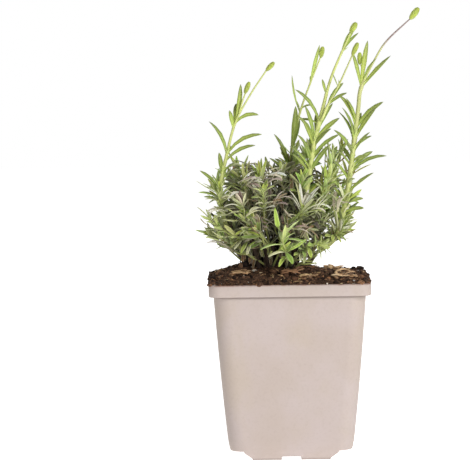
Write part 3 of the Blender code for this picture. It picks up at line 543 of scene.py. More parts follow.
def draw_leaf(drawing, line, breadth, upper, tint, twist=0.0, fold=0.1, tip_tint=None, blunt=0.55):
    """A narrow leaf along a line of points, with its upper side towards a direction."""
    total = path_length(line)
    rings = []
    for share in LEAF_STATIONS[:-1]:
        place, along = place_on(line, total * share)
        lift = square_to(upper, along)
        side = lift.cross(along)
        turn = Matrix.Rotation(twist * share, 3, along)
        side, lift = turn @ side, turn @ lift
        half = 0.5 * breadth * leaf_width(share, blunt)
        places = [place + half * (side * x + lift * (y + fold * abs(x))) for x, y in LEAF_SECTION]
        forms = [(abs(x), share, 1.0 if index >= UNDER_FROM else 0.0)
                 for index, (x, _) in enumerate(LEAF_SECTION)]
        shade = mixed(tint, tip_tint, max(0.0, share - 0.5) * 2) if tip_tint else tint
        # Painted shade: the deeper a place lies in the mound, the more the tint goes towards the inner shade
        # tint.
        rings.append(drawing.ring(places, mixed(INNER_SHADE_AND_AGE_TINT, shade, inner_shade(place)), forms))
    tip = mixed(INNER_SHADE_AND_AGE_TINT, tip_tint or tint, inner_shade(line[-1]))
    drawing.tube(rings, drawing.add(line[-1], tip, (0.0, 1.0, 0.0)))


def bowed_line(foot, reach, bow, steps=8):
    """From the foot to foot plus reach, bowed upwards in between."""
    lift = square_to(Vector((0, 0, 1)), reach.normalized()) * bow
    return [foot + reach * (step / steps) + lift * 4 * (step / steps) * (1 - step / steps)
            for step in range(steps + 1)]


def arching_line(foot, axis, out, lean, curl, length, steps=8):
    """A leaf's line that leaves the stem at one angle from its axis and bends on by curl."""
    line = [foot]
    for step in range(steps):
        angle = lean + curl * ((step + 0.5) / steps - 0.35)
        line.append(line[-1] + (axis * math.cos(angle) + out * math.sin(angle)) * (length / steps))
    return line


def between(table, value):
    """Reads a table of (place, size) rows at a place, straight between its rows."""
    for (low, first), (high, second) in zip(table, table[1:]):
        if value <= high:
            return first + (second - first) * max(0.0, (value - low) / (high - low))
    return table[-1][1]


def draw_stem(drawing, path, width_at, tints, knots=(), sides=8, rough=0.0, inner=False, plain_from=1.0):
    """A softly square stem, as wide as width_at(share, place) says, a little swollen at its knots.

    One that is inner darkens into the mound with painted shade, as the leaves do. Past plain_from, a share of
    its length, a stem has its own tint alone, without a leaf's rib and foot colours.
    """
    total = path_length(path)
    count = max(5, int(total / 1.8))
    reference = square_to(Vector((0.2, 1, 0.1)), (path[-1] - path[0]).normalized())
    rings = []
    for station in sorted({total * step / count for step in range(count + 1)} | set(knots)):
        place, along = place_on(path, station)
        side = square_to(reference, along)
        other = along.cross(side)
        share = station / total
        near = min((abs(station - knot) for knot in knots), default=9.0)
        radius = 0.5 * width_at(share, place) * (1 + 0.16 * math.exp(-(near / 0.8) ** 2))
        places = []
        for corner in range(sides):
            angle = math.tau * corner / sides
            spoke = side * math.cos(angle) + other * math.sin(angle)
            square = 1 + 0.07 * math.cos(4 * angle)
            bump = square * (1 + rough * noise.noise((place + spoke * radius) * 0.9))
            places.append(place + spoke * radius * bump)
        tint = mixed(tints[0], tints[1], min(1.0, share * 1.3))
        # Painted shade: an inner stem darkens towards the middle of the mound.
        if inner:
            tint = mixed(INNER_SHADE_AND_AGE_TINT, tint, inner_shade(place))
        plain = min(1.0, max(0.0, (share - plain_from) * 10))
        rings.append(drawing.ring(places, tint, [(0.5 * plain, plain, 0.0)] * sides))
    drawing.tube(rings)


def tapered(foot, tip):
    """A width that goes evenly from one value at the foot to another at the tip."""
    return lambda share, place: foot + (tip - foot) * share


# --- tall shoots -------------------------------------------------------------------------------


TALL_LEAF_REACH = 1.05
TALL_LEAF_BREADTH = 1.12
WHORL_LEAVES = 5
WHORL_TINTS = ("green", "young", "grey", "deep", "pale")
BARE_HEIGHT = 180.0


def build_tall_shoots(material):
    """Each tall shoot has its stem, its own leaves, and short leaves round its foot."""
    chance = random.Random(31)
    for name, plan in TALL_SHOOTS.items():
        drawing = Drawing()
        path = smooth_path(plan["stem"], 6)
        draw_tall_stem(drawing, path, plan)
        for leaf in plan["leaves"]:
            draw_tall_leaf(drawing, path, leaf, chance)
        if "hidden" in plan:
            draw_whorls(drawing, path, *plan["hidden"], chance)
        drawing.piece("green_" + name, material, "young_leaf", name)


def draw_tall_stem(drawing, path, plan):
    """The stem, a little swollen where its leaves stand, and the short stalks of its side buds."""
    knots = sorted({distance_at_height(path, leaf[0]) for leaf in plan["leaves"]})
    tints = (STEM_GREEN, plan.get("stalk_tint", STEM_STALK))
    draw_stem(drawing, path, lambda share, place: between(plan["width"], place.z), tints, knots,
              plain_from=plan.get("plain_from", 1.0))
    for height, reach in plan.get("stalks", []):
        foot, _ = place_on(path, distance_at_height(path, height))
        line = bowed_line(foot, Vector(reach), 0.4, 5)
        draw_stem(drawing, line, tapered(1.0, 0.7), (STEM_YOUNG, STEM_STALK))


def draw_tall_leaf(drawing, path, leaf, chance):
    """A leaf partly turned to the front, as it is twisted at its foot towards the light."""
    height, reach, breadth, bow = leaf
    distance = distance_at_height(path, height)
    foot, along = place_on(path, distance)
    reach = Vector(reach) * TALL_LEAF_REACH
    age = 1 - distance / path_length(path)
    tint = mixed(LEAF_TINTS["young"], LEAF_TINTS["green"], min(1.0, age + chance.uniform(0.2, 0.7)))
    upper = along * 0.6 + FRONT * chance.uniform(0.5, 1.1)
    draw_leaf(drawing, bowed_line(foot, reach, bow), breadth * TALL_LEAF_BREADTH, upper, varied(tint, chance),
              chance.uniform(-0.5, 0.5), 0.12, mixed(tint, LEAF_TIP, 0.7), 0.6)
    draw_axil(drawing, foot, along, reach, chance)


def draw_whorls(drawing, path, low, high, chance):
    """Short leaves all round a stem between two heights."""
    distance = distance_at_height(path, low)
    last = distance_at_height(path, high)
    while distance < last:
        place, along = place_on(path, distance)
        first = square_to(Vector((1, 0, 0)), along)
        spin = chance.uniform(0, math.tau)
        for leaf in range(WHORL_LEAVES):
            turn = spin + math.tau * leaf / WHORL_LEAVES + chance.uniform(-0.3, 0.3)
            out = Matrix.Rotation(turn, 3, along) @ first
            line = arching_line(place, along, out, chance.uniform(0.5, 1.0), chance.uniform(-0.3, 0.7),
                                chance.uniform(8, 13.5))
            tint = LEAF_TINTS[chance.choice(WHORL_TINTS)]
            if not too_low(line[-1]):
                draw_leaf(drawing, line, chance.uniform(2.0, 2.8), along * 0.7 + FRONT * 0.5,
                          varied(tint, chance), chance.uniform(-0.8, 0.8), 0.15)
        distance += chance.uniform(2.8, 4.2)


def draw_axil(drawing, foot, along, reach, chance):
    """A few very small leaves in the angle between a leaf and its stem, fewer where the stem is bare."""
    out = square_to(reach, along)
    for _ in range(chance.choice((0, 1, 1) if foot.z > BARE_HEIGHT else (1, 2, 3))):
        turned = Matrix.Rotation(chance.uniform(-1.4, 1.4), 3, along) @ out
        length = chance.uniform(3.5, 8.0)
        line = arching_line(foot, along, turned, chance.uniform(0.3, 0.6), 0.4, length, 6)
        draw_leaf(drawing, line, chance.uniform(1.2, 1.7), along, varied(LEAF_TINTS["young"], chance),
                  0.0, 0.15)


# --- buds --------------------------------------------------------------------------------------


# A bud's girth along it, where along it each row of scales starts, how much of its length a scale
# covers, and the core's radius as a share of the bud's thickness.
BUD_GIRTH = [(0.0, 0.3), (0.12, 0.62), (0.32, 0.9), (0.55, 1.0), (0.78, 0.86), (0.93, 0.5), (1.0, 0.22)]
SCALE_ROWS = (0.0, 0.2, 0.4, 0.6)
SCALES_ROUND = 5
SCALE_REACH = 0.42
CORE_SHARE = 0.42


def build_buds(material):
    """Each bud is a blunt spindle wrapped in rows of overlapping scales."""
    chance = random.Random(5)
    for name, (foot, direction, length, thickness) in BUDS.items():
        drawing = Drawing()
        axis = Vector(direction).normalized()
        foot = Vector(foot) - axis * 0.8
        girth = CORE_SHARE * thickness
        core = [foot + axis * length * step / 12 for step in range(13)]
        draw_stem(drawing, core, lambda share, place: 2 * girth * between(BUD_GIRTH, share),
                  (BUD_DEEP, BUD_TINT), sides=12)
        for row, start in enumerate(SCALE_ROWS):
            for scale in range(SCALES_ROUND):
                turn = math.tau * (scale + 0.5 * (row % 2)) / SCALES_ROUND + chance.uniform(-0.12, 0.12)
                draw_scale(drawing, foot, axis, length, thickness, start, turn, chance)
        drawing.piece("scaled_" + name, material, "flower_bud", name)


def draw_scale(drawing, foot, axis, length, thickness, start, turn, chance):
    """A bud scale that hugs the spindle, from a share of its length on."""
    side = square_to(Vector((0, -1, 0.2)), axis)
    out = side * math.cos(turn) + axis.cross(side) * math.sin(turn)
    line = []
    for step in range(7):
        share = min(1.0, start + SCALE_REACH * step / 6)
        lift = CORE_SHARE * thickness * between(BUD_GIRTH, share) + 0.12 + 0.12 * step / 6
        line.append(foot + axis * length * share * 1.02 + out * lift)
    tint = varied(mixed(BUD_TINT, BUD_DEEP, chance.uniform(0, 0.6)), chance)
    draw_leaf(drawing, line, thickness * 0.62, out, tint, 0.0, -0.3, BUD_TINT, 0.3)


# --- foliage -----------------------------------------------------------------------------------

# Tints of each kind of shoot; a leaf takes one of them.
PALETTES = {
    "green": ("green", "bright", "young", "deep", "grey"),
    "fresh": ("young", "bright", "bright", "young", "olive"),
    "grey": ("grey", "grey", "silver", "green", "pale"),
    "silver": ("silver", "silver", "grey", "pale", "mauve"),
    "purple": ("purple", "mauve", "mauve", "silver", "grey"),
    "dull": ("deep", "brown", "grey", "dark", "purple"),
}
SPARE_KINDS = ["green", "grey", "fresh", "dull", "grey", "silver", "green", "purple", "fresh", "green"]
SHOOT_CURLS = (-30, 20, 45, 75, 110)
TUFT_LEAVES = 6

# The mound's underside: its height at the neck, how far out it starts to rise, and its slope. Its
# front has a gap, where the neck is seen, as (middle, half-width, top).
UNDERSIDE = 110.0
UNDERSIDE_FROM = 14.0
UNDERSIDE_SLOPE = 0.42
GAP_FRONT = -8.0
GAP = [(-11.0, 9.0, 127.0), (-10.0, 4.5, 137.0)]


def ends_of(node):
    """Foot and tip of a shoot, in millimetres: its points nearest to and farthest from the crown."""
    heart = Vector((CROWN_X, CROWN_Y, STUB_TOP))
    points = [vertex.co / MM for vertex in NODES[node].data.vertices]
    return min(points, key=lambda p: (p - heart).length), max(points, key=lambda p: (p - heart).length)


def build_foliage(material):
    """Each piece has its main shoot, with a sprig in front of it where there is one, and side shoots."""
    chance = random.Random(11)
    names = sorted(node for node in NODES if node.startswith("foliage_"))
    for number, name in enumerate(names):
        drawing = Drawing()
        foot, tip = ends_of(name)
        if name in RAISED:
            tip = Vector(RAISED[name])
        if name in FRONT_SPRIGS:
            draw_front_sprig(drawing, *FRONT_SPRIGS[name], chance)
            draw_shoot(drawing, foot, foot.lerp(tip, 0.72), "dull", chance)
        else:
            kind = "fresh" if name in RAISED else SPARE_KINDS[number % len(SPARE_KINDS)]
            draw_shoot(drawing, foot, tip, kind, chance)
        for side in range(2):
            spread = Vector((chance.uniform(-1, 1), chance.uniform(-0.4, 1), chance.uniform(-0.3, 0.7)))
            start = foot.lerp(tip, chance.uniform(0.2, 0.4))
            heading = ((tip - foot).normalized() + spread * 0.6).normalized()
            kind = SPARE_KINDS[(number + 3 + 4 * side) % len(SPARE_KINDS)]
            draw_shoot(drawing, start, start + heading * chance.uniform(14, 20), kind, chance)
        drawing.piece("leafy_" + name, material, "mound_leaf", name)


def too_low(point):
    """Tells if a leaf that ends here would hang below the mound's underside or close the gap in its front."""
    if point.y < GAP_FRONT:
        for middle, half, top in GAP:
            if abs(point.x - middle) < half and point.z < top:
                return True
    away = math.hypot(point.x - NECK_X, point.y - CROWN_Y)
    return point.z < UNDERSIDE + UNDERSIDE_SLOPE * max(0.0, away - UNDERSIDE_FROM)


def draw_front_sprig(drawing, stem, leaves, chance):
    """A sprig whose leaves each reach from the stem to a place of their own."""
    path = smooth_path(stem, 6)
    total = path_length(path)
    draw_stem(drawing, path, tapered(1.5, 1.0), (STEM_WOOD, STEM_GREEN), sides=6, inner=True)
    for share, tip, breadth, bow, tint in leaves:
        foot, along = place_on(path, total * share)
        reach = Vector(tip) - foot
        draw_leaf(drawing, bowed_line(foot, reach, bow), breadth, along + Vector((0, 0, 0.6)),
                  varied(LEAF_TINTS[tint], chance, 0.08), chance.uniform(-0.5, 0.5), 0.14, blunt=0.5)
        draw_axil(drawing, foot, along, reach, chance)


def draw_shoot(drawing, foot, tip, kind, chance):
    """A leafy side shoot: loose crossed pairs of arching leaves, a small leaf by each, and a tuft."""
    reach = tip - foot
    axis = reach.normalized()
    end = foot + axis * (reach.length - 7.0)
    sway = Vector([chance.uniform(-2.5, 2.5) for _ in range(3)])
    path = smooth_path([foot - axis * 1.6, foot.lerp(end, 0.5) + sway, end], 6)
    total = path_length(path)
    palette = PALETTES[kind]
    stem_tint = mixed(LEAF_TINTS[palette[0]], STEM_GREEN, 0.6)
    draw_stem(drawing, path, tapered(1.3, 0.8), (mixed(STEM_WOOD, stem_tint, 0.3), stem_tint),
              sides=6, inner=True)
    first = square_to(Vector((0, 0, 1)), axis)
    spin = chance.uniform(0, math.pi / 2)
    distance = total * 0.2
    pair = 0
    while distance < total:
        place, along = place_on(path, distance)
        turn = spin + (math.pi / 2) * pair
        draw_pair(drawing, place, along, first, turn, distance / total, palette, chance)
        distance += chance.uniform(2.4, 3.6)
        pair += 1
    draw_tuft(drawing, end, axis, first, palette, chance)


def draw_pair(drawing, place, along, first, turn, share, palette, chance):
    """Two leaves on opposite sides of a stem, at a share of its length, and one small leaf."""
    for half in range(2):
        spin = turn + math.pi * half + chance.uniform(-0.45, 0.45)
        out = square_to(Matrix.Rotation(spin, 3, along) @ first, along)
        lean = math.radians(72 - 38 * share + chance.uniform(-22, 18))
        size = chance.uniform(9.5, 16.5) * (0.75 + 0.25 * share)
        curl = math.radians(chance.choice(SHOOT_CURLS)) * (1.3 - share)
        tint = LEAF_TINTS[chance.choice(palette)]
        if chance.random() > 0.7 + 0.3 * share:
            tint = LEAF_TINTS["brown"]
        line = arching_line(place, along, out, lean, curl, size)
        if not too_low(line[-1]):
            draw_leaf(drawing, line, chance.uniform(1.5, 2.3), along, varied(tint, chance, 0.3),
                      chance.uniform(-1.2, 1.2), chance.uniform(0.0, 0.25))
    out = square_to(Matrix.Rotation(chance.uniform(0, math.tau), 3, along) @ first, along)
    line = arching_line(place, along, out, chance.uniform(0.3, 0.8), 0.5, chance.uniform(5, 8.5), 6)
    if not too_low(line[-1]):
        draw_leaf(drawing, line, chance.uniform(1.2, 1.8), along,
                  varied(LEAF_TINTS[palette[1]], chance, 0.18))


def draw_tuft(drawing, end, axis, first, palette, chance):
    """The young leaves at a shoot's tip, nearly closed round its axis."""
    for leaf in range(TUFT_LEAVES):
        turn = math.tau * leaf / TUFT_LEAVES + chance.uniform(-0.4, 0.4)
        out = square_to(Matrix.Rotation(turn, 3, axis) @ first, axis)
        line = arching_line(end, axis, out, chance.uniform(0.1, 0.5), 0.5, chance.uniform(6.5, 10.5), 7)
        tint = mixed(LEAF_TINTS[palette[leaf % len(palette)]], LEAF_TINTS["young"], 0.25)
        if not too_low(line[-1]):
            draw_leaf(drawing, line, chance.uniform(1.5, 2.2), axis, varied(tint, chance),
                      chance.uniform(-0.4, 0.4), 0.2)


# Bundles of curled leaves in the mound: their middle, their heading in degrees from upright to the
# right, how far they fan out, their number and tints.
CURLED = [
    ((-18, -30, 131), 40, 1.2, 10, ("brown", "mauve", "brown", "purple")),
    ((9, -34, 128), 10, 1.8, 11, ("purple", "mauve", "brown", "grey")),
    ((-22, -29, 156), 60, 0.5, 8, ("silver", "mauve", "grey")),
    ((-30, -28, 148), -60, 0.6, 8, ("silver", "grey", "mauve")),
    ((-9, -30, 158), 60, 0.5, 7, ("mauve", "silver", "purple")),
    ((-6, -34, 144), 45, 0.5, 6, ("mauve", "purple", "brown")),
    ((15, -34, 142), 50, 0.6, 6, ("pale", "silver", "grey")),
    ((28, -27, 143), 20, 0.8, 7, ("grey", "silver", "purple")),
    ((-38, -22, 138), -70, 0.5, 6, ("grey", "pale", "silver")),
    ((19, -20, 133), 30, 1.3, 10, ("green", "young", "grey")),
    ((24, -18, 142), -20, 1.2, 8, ("green", "young", "green")),
    ((25, -4, 152), 0, 1.5, 15, ("green", "young", "deep")),
    ((31, -5, 139), 10, 1.5, 12, ("green", "grey", "young")),
    ((20, -4, 141), 0, 1.7, 10, ("green", "deep", "grey")),
    ((-28, -5, 152), 0, 1.5, 13, ("green", "grey", "deep")),
    ((-36, -8, 143), -20, 1.4, 10, ("green", "young", "grey")),
    # The last three bundles are dark leaves in the mound's middle: partly old leaves, and partly painted
    # shade that darkens its heart.
    ((-11, -13, 130), 0, 3.1, 20, ("dark", "dark", "brown")),
    ((-10, -4, 124), 0, 3.1, 16, ("dark", "dark", "deep")),
    ((11, -6, 127), 60, 3.1, 16, ("dark", "dark", "brown")),
]


def draw_curled(drawing, middle, heading, fan, count, tints, chance):
    """Leaves that leave one place nearly side by side and bend over, out and down."""
    for _ in range(count):
        turn = math.radians(heading) + chance.uniform(-fan, fan)
        axis = Vector((math.sin(turn), chance.uniform(-0.5, -0.1), math.cos(turn))).normalized()
        out = square_to(Vector((math.sin(turn) * 0.6, -0.4, -0.8)), axis)
        start = Vector(middle) + Vector([chance.uniform(-2.5, 2.5) for _ in range(3)]) - axis * 4
        line = arching_line(start, axis, out, chance.uniform(-0.2, 0.2), chance.uniform(0.7, 1.6),
                            chance.uniform(9, 13.5), 8)
        draw_leaf(drawing, line, chance.uniform(1.6, 2.5), -out + FRONT * 0.6,
                  varied(LEAF_TINTS[chance.choice(tints)], chance, 0.15), chance.uniform(-0.4, 0.4), 0.15)


INNER_LEAVES = 920
INNER_TINTS = ("dark", "brown", "deep", "dark", "purple", "grey")
HANGING_STRIPS = 46
HANGING_TINTS = ("brown", "mauve", "grey", "brown", "dark")


def build_dead_leaves(material):
    """Old leaves: curled bundles, those that fill the mound's inside, and strips round its woody neck."""
    chance = random.Random(77)
    drawing = Drawing()
    for bundle in CURLED:
        draw_curled(drawing, *bundle, chance)
    for _ in range(INNER_LEAVES):
        draw_inner_leaf(drawing, chance)
    for _ in range(HANGING_STRIPS):
        draw_hanging_strip(drawing, chance)
    drawing.piece("dead_leaves", material, "mound_leaf")


def draw_inner_leaf(drawing, chance):
    """A dull leaf somewhere inside the mound, which is widest at its middle height."""
    turn = chance.uniform(0, math.tau)
    height = chance.uniform(104, 160)
    girth = 14 + 15 * math.sin(math.pi * min(1.0, max(0.0, (height - 98) / 72)))
    out = outward(turn)
    place = Vector((CROWN_X + 2, CROWN_Y, height)) + out * (girth * chance.uniform(0.3, 0.95))
    axis = out * chance.uniform(0.2, 1.0)
    axis += Vector((chance.uniform(-0.6, 0.6), chance.uniform(-0.6, 0.6), chance.uniform(-0.5, 0.9)))
    axis = axis.normalized()
    side = square_to(Vector((0, 0, -1)), axis)
    line = arching_line(place, axis, side, chance.uniform(-0.2, 0.5), chance.uniform(0.2, 1.8),
                        chance.uniform(8, 15), 7)
    tint = mixed(LEAF_TINTS[chance.choice(INNER_TINTS)], LEAF_TINTS["dark"], 0.5)
    if not too_low(line[-1]):
        draw_leaf(drawing, line, chance.uniform(1.6, 2.6), -side, varied(tint, chance, 0.2),
                  chance.uniform(-1.5, 1.5), 0.3)


def draw_hanging_strip(drawing, chance):
    """A withered strip that hangs from the neck's top."""
    out = outward(chance.uniform(0, math.tau))
    place = Vector((NECK_X, CROWN_Y, chance.uniform(112, 121))) + out * chance.uniform(11, 16)
    line = arching_line(place, out, Vector((0, 0, -1)), chance.uniform(1.1, 1.5), chance.uniform(0.1, 0.4),
                        chance.uniform(6, 11), 7)
    tint = mixed(LEAF_TINTS[chance.choice(HANGING_TINTS)], LEAF_TINTS["brown"], 0.4)
    draw_leaf(drawing, line, chance.uniform(1.4, 2.4), out, varied(tint, chance, 0.15),
              chance.uniform(-0.8, 0.8), 0.25)


# --- woody crown -------------------------------------------------------------------------------


def branch_path(tip):
    """Middle line of a woody branch: out of the soil, and up to its tip in a gentle sweep."""
    tip = Vector(tip)
    axis = Vector((CROWN_X, CROWN_Y, 0.0))
    out = Vector((tip.x - axis.x, tip.y - axis.y, 0.0))
    reach = min(1.0, 0.62 * STUB_RADIUS_TOP / out.length)
    foot = Vector((axis.x + out.x * reach, axis.y + out.y * reach, STUB_TOP - 3.0))
    elbow = foot.lerp(tip, 0.5) + out.normalized() * 1.5 - Vector((0, 0, 1.0))
    return smooth_path([foot, elbow, tip], 8)


def build_crown(material):
    """The branches that carry the shoots, and thin woody stems all round the neck."""
    drawing = Drawing()
    for tip in BRANCH_TIPS:
        draw_stem(drawing, branch_path(tip), tapered(2 * BRANCH_RADIUS_FOOT, 2 * BRANCH_RADIUS_TIP),
                  (BARK_TINT, BARK_PALE), sides=12, rough=0.35)
    chance = random.Random(3)
    for number in range(NECK_STEMS):
        out = outward(math.tau * number / NECK_STEMS + chance.uniform(-0.15, 0.15))
        foot = Vector((NECK_X, CROWN_Y, 101.0)) + out * chance.uniform(8, 15)
        tip = Vector((NECK_X, CROWN_Y, chance.uniform(118, 126))) + out * chance.uniform(14, 22)
        middle = foot.lerp(tip, 0.45) - out * chance.uniform(1.5, 3.5)
        draw_stem(drawing, smooth_path([foot, middle, tip], 6), tapered(chance.uniform(2.2, 3.8), 1.6),
                  (BARK_TINT, BARK_PALE), sides=10, rough=0.4)
    drawing.piece("bark_crown", material, "bark", "woody_crown")


# --- soil --------------------------------------------------------------------------------------


def wall_half(height):
    """Half-width of the pot's outer wall: wider upwards, bulged a little, and tucked in at its foot."""
    share = height / (RIM_TOP - RIM_BAND)
    bulge = WALL_BULGE * math.sin(math.pi * share)
    tuck = FOOT_TUCK * max(0.0, 1 - height / FOOT_TUCK_HEIGHT) ** 2
    return WALL_HALF_FOOT + (WALL_HALF_TOP - WALL_HALF_FOOT) * share + bulge - tuck


def soil_height(x, y):
    """Height of the soil: level with the rim at the wall, heaped round the crown."""
    inner = wall_half(SOIL_EDGE) - WALL
    margin = inner - max(abs(x), abs(y))
    shoulder = SOIL_SHOULDER * (1 - math.exp(-max(margin, 0.0) / 3.5))
    distance = (x - CROWN_X) ** 2 + (y - CROWN_Y) ** 2
    heap = SOIL_RISE * math.exp(-distance / (2 * CROWN_SPREAD ** 2))
    lumps = 0.5 * math.sin(0.31 * x + 0.6) * math.sin(0.27 * y + 1.1) * min(1.0, max(margin, 0.0) / 6.0)
    return SOIL_EDGE + shoulder + heap + lumps


# A second, smaller heap to the left of the neck.
HUMP_X = -22.0
HUMP_RISE = 4.0
HUMP_SPREAD = 180.0


def clod_height(x, y):
    """The soil's surface with its clods and crumbs, thin and patchy where it lies on the rim."""
    place = Vector((x, y, 0.0))
    clods = noise.voronoi(place * 0.26)[0][0]
    fine = noise.fractal(place * 0.55, 0.7, 2.2, 4)
    over = max(abs(x), abs(y)) - (wall_half(SOIL_EDGE) - WALL)
    if over > 0:
        patch = noise.noise(place * 0.2 + Vector((7, 3, 0)))
        if abs(x) > abs(y):
            return RIM_TOP + 0.5 + 1.6 * patch + 0.5 * fine
        return RIM_TOP + 0.2 + 0.3 * patch + 0.1 * fine
    hump = HUMP_RISE * math.exp(-((x - HUMP_X) ** 2 + (y - CROWN_Y) ** 2) / HUMP_SPREAD)
    return soil_height(x, y) + hump + 1.1 * (0.5 - clods) + 0.9 * fine


SOIL_CELLS = 150


def soil_point(u, v):
    """A point of the soil's surface, for places from -1 to 1 across and along, cut off at the corners."""
    half = RIM_HALF + 0.3
    corner = max(0.0, abs(u) + abs(v) - 1.86) * 0.5
    x = half * (u - math.copysign(corner, u))
    y = (half - 0.9) * (v - math.copysign(corner, v))
    fray = 1 + 0.012 * noise.noise(Vector((x, y, 9.0)) * 0.5)
    return Vector((x * fray, y * fray, clod_height(x * fray, y * fray)))


def soil_tint(point):
    """Dark and middling peat in clouds, with browner spots."""
    shade = noise.noise(point * 0.4) * 0.5 + 0.5
    tint = mixed(SOIL_DARK, SOIL_MID, shade)
    if noise.noise(Vector((point.x, point.y, 4.0)) * 0.9) > 0.3:
        tint = mixed(tint, SOIL_BROWN, 0.6)
    return tint


def build_soil(material):
    """The heaped top as a fine grid, with a skirt down into the pot."""
    drawing = Drawing()
    grid = []
    for row in range(SOIL_CELLS + 1):
        line = []
        for column in range(SOIL_CELLS + 1):
            point = soil_point(2 * column / SOIL_CELLS - 1, 2 * row / SOIL_CELLS - 1)
            line.append(drawing.add(point, soil_tint(point)))
        grid.append(line)
    edges = [0.04 + 0.92 * line / SOIL_CELLS for line in range(SOIL_CELLS + 1)]
    for row, (low, high) in enumerate(zip(edges, edges[1:])):
        for column, (left, right) in enumerate(zip(edges, edges[1:])):
            near, far = grid[row][column:column + 2], grid[row + 1][column:column + 2]
            drawing.face((*near, *far[::-1]), ((left, low), (right, low), (right, high), (left, high)))
    close_under(drawing, grid)
    drawing.cells = 1
    drawing.piece("soil_heap", material, "compost", "soil")


def close_under(drawing, grid):
    """Brings the soil's border down into the pot, and closes it below."""
    border = (grid[0][:-1] + [line[-1] for line in grid[:-1]] + grid[-1][:0:-1]
              + [line[0] for line in grid[:0:-1]])
    feet = []
    for index in border:
        point = drawing.points[index]
        feet.append(drawing.add(Vector((point.x * 0.88, point.y * 0.88, SOIL_EDGE - 6.0)), SOIL_DARK))
    sides = len(border)
    for index in range(sides):
        after = (index + 1) % sides
        left, right = index / sides, (index + 1) / sides
        drawing.face((feet[index], feet[after], border[after], border[index]),
                     ((left, 0.0), (right, 0.0), (right, 0.03), (left, 0.03)))
    turns = [math.tau * index / sides for index in range(sides)]
    disc = [(0.02 + 0.008 * math.cos(turn), 0.5 + 0.008 * math.sin(turn)) for turn in turns]
    drawing.face(feet[::-1], disc[::-1])


def lump_shape():
    """A ball's points, and its faces as lists of point numbers."""
    ball = bmesh.new()
    bmesh.ops.create_icosphere(ball, subdivisions=2, radius=1.0)
    points = [vertex.co.copy() for vertex in ball.verts]
    faces = [[vertex.index for vertex in face.verts] for face in ball.faces]
    ball.free()
    return points, faces


LUMP_POINTS, LUMP_FACES = lump_shape()


def add_lump(drawing, place, size, stretch, turn, tint, seed):
    """An irregular crumb: a ball pushed in and out, stretched and turned. Fills one cell."""
    first = len(drawing.points)
    for point in LUMP_POINTS:
        push = 1 + 0.45 * noise.noise(point * 1.3 + Vector((seed, 0, 0)))
        local = Vector((point.x * stretch.x, point.y * stretch.y, point.z * stretch.z)) * size * push
        drawing.add(place + turn @ local, tint)
    for face in LUMP_FACES:
        middle = sum((LUMP_POINTS[index] for index in face), Vector())
        above = middle.z > 0
        corners = []
        for index in face:
            point = LUMP_POINTS[index]
            spread = math.acos(max(-1.0, min(1.0, point.z if above else -point.z))) * 0.14
            heading = math.atan2(point.y, point.x)
            corners.append(((0.25 if above else 0.75) + spread * math.cos(heading) * (1 if above else -1),
                            0.5 + 2 * spread * math.sin(heading)))
        drawing.face([first + index for index in face], corners)
    drawing.cells += 1


CRUMBS = 760
STRAWS = 170
CRUMB_TINTS = [SOIL_DARK] * 5 + [SOIL_MID] * 6 + [SOIL_BROWN] * 3 + [SOIL_TAN] + [SOIL_PALE]


def build_crumbs(material):
    """Loose crumbs, and thin straws and root ends that lie in the soil's surface."""
    drawing = Drawing()
    chance = random.Random(23)
    for number in range(CRUMBS):
        draw_crumb(drawing, number * 1.7, chance)
    for _ in range(STRAWS):
        draw_straw(drawing, chance)
    drawing.piece("soil_crumbs", material, "compost")


def draw_crumb(drawing, seed, chance):
    """A crumb somewhere on the soil; the pale ones are small."""
    reach = RIM_HALF - 0.4
    x, y = chance.uniform(-reach, reach), chance.uniform(-reach, reach)
    size = min(2.3, 0.4 + chance.expovariate(2.2))
    tint = varied(chance.choice(CRUMB_TINTS), chance, 0.25)
    if tint[0] > 0.3:
        size *= 0.5
    stretch = Vector((chance.uniform(0.7, 1.6), chance.uniform(0.7, 1.2), chance.uniform(0.45, 0.9)))
    turn = (Matrix.Rotation(chance.uniform(0, math.tau), 3, "Z")
            @ Matrix.Rotation(chance.uniform(-0.6, 0.6), 3, "X"))
    add_lump(drawing, Vector((x, y, clod_height(x, y) + size * 0.2)), size, stretch, turn, tint, seed)


def draw_straw(drawing, chance):
    """A thin bent straw, left out where it would stick out over the rim."""
    x, y = chance.uniform(-42, 42), chance.uniform(-42, 42)
    turn = chance.uniform(0, math.tau)
    start = Vector((x, y, clod_height(x, y) + 0.3))
    heading = Vector((math.cos(turn), math.sin(turn), chance.uniform(-0.25, 0.5))) * chance.uniform(2.5, 8.0)
    bend = Vector((chance.uniform(-1, 1), chance.uniform(-1, 1), chance.uniform(0, 0.8)))
    path = smooth_path([start, start + heading * 0.5 + bend, start + heading], 3)
    tint = varied(chance.choice((SOIL_BROWN, SOIL_TAN, SOIL_MID)), chance, 0.2)
    thickness = chance.uniform(0.25, 0.6)
    if max(abs(path[-1].x), abs(path[-1].y)) < RIM_HALF - 0.5:
        draw_stem(drawing, path, tapered(thickness, 0.15), (tint, tint), sides=5)


CHIP_TINTS = [SOIL_TAN, SOIL_BROWN, SOIL_TAN, rgb(246, 212, 166), SOIL_TAN, SOIL_BROWN]
CURLED_CHIP = 3
SPLINTERS = 14


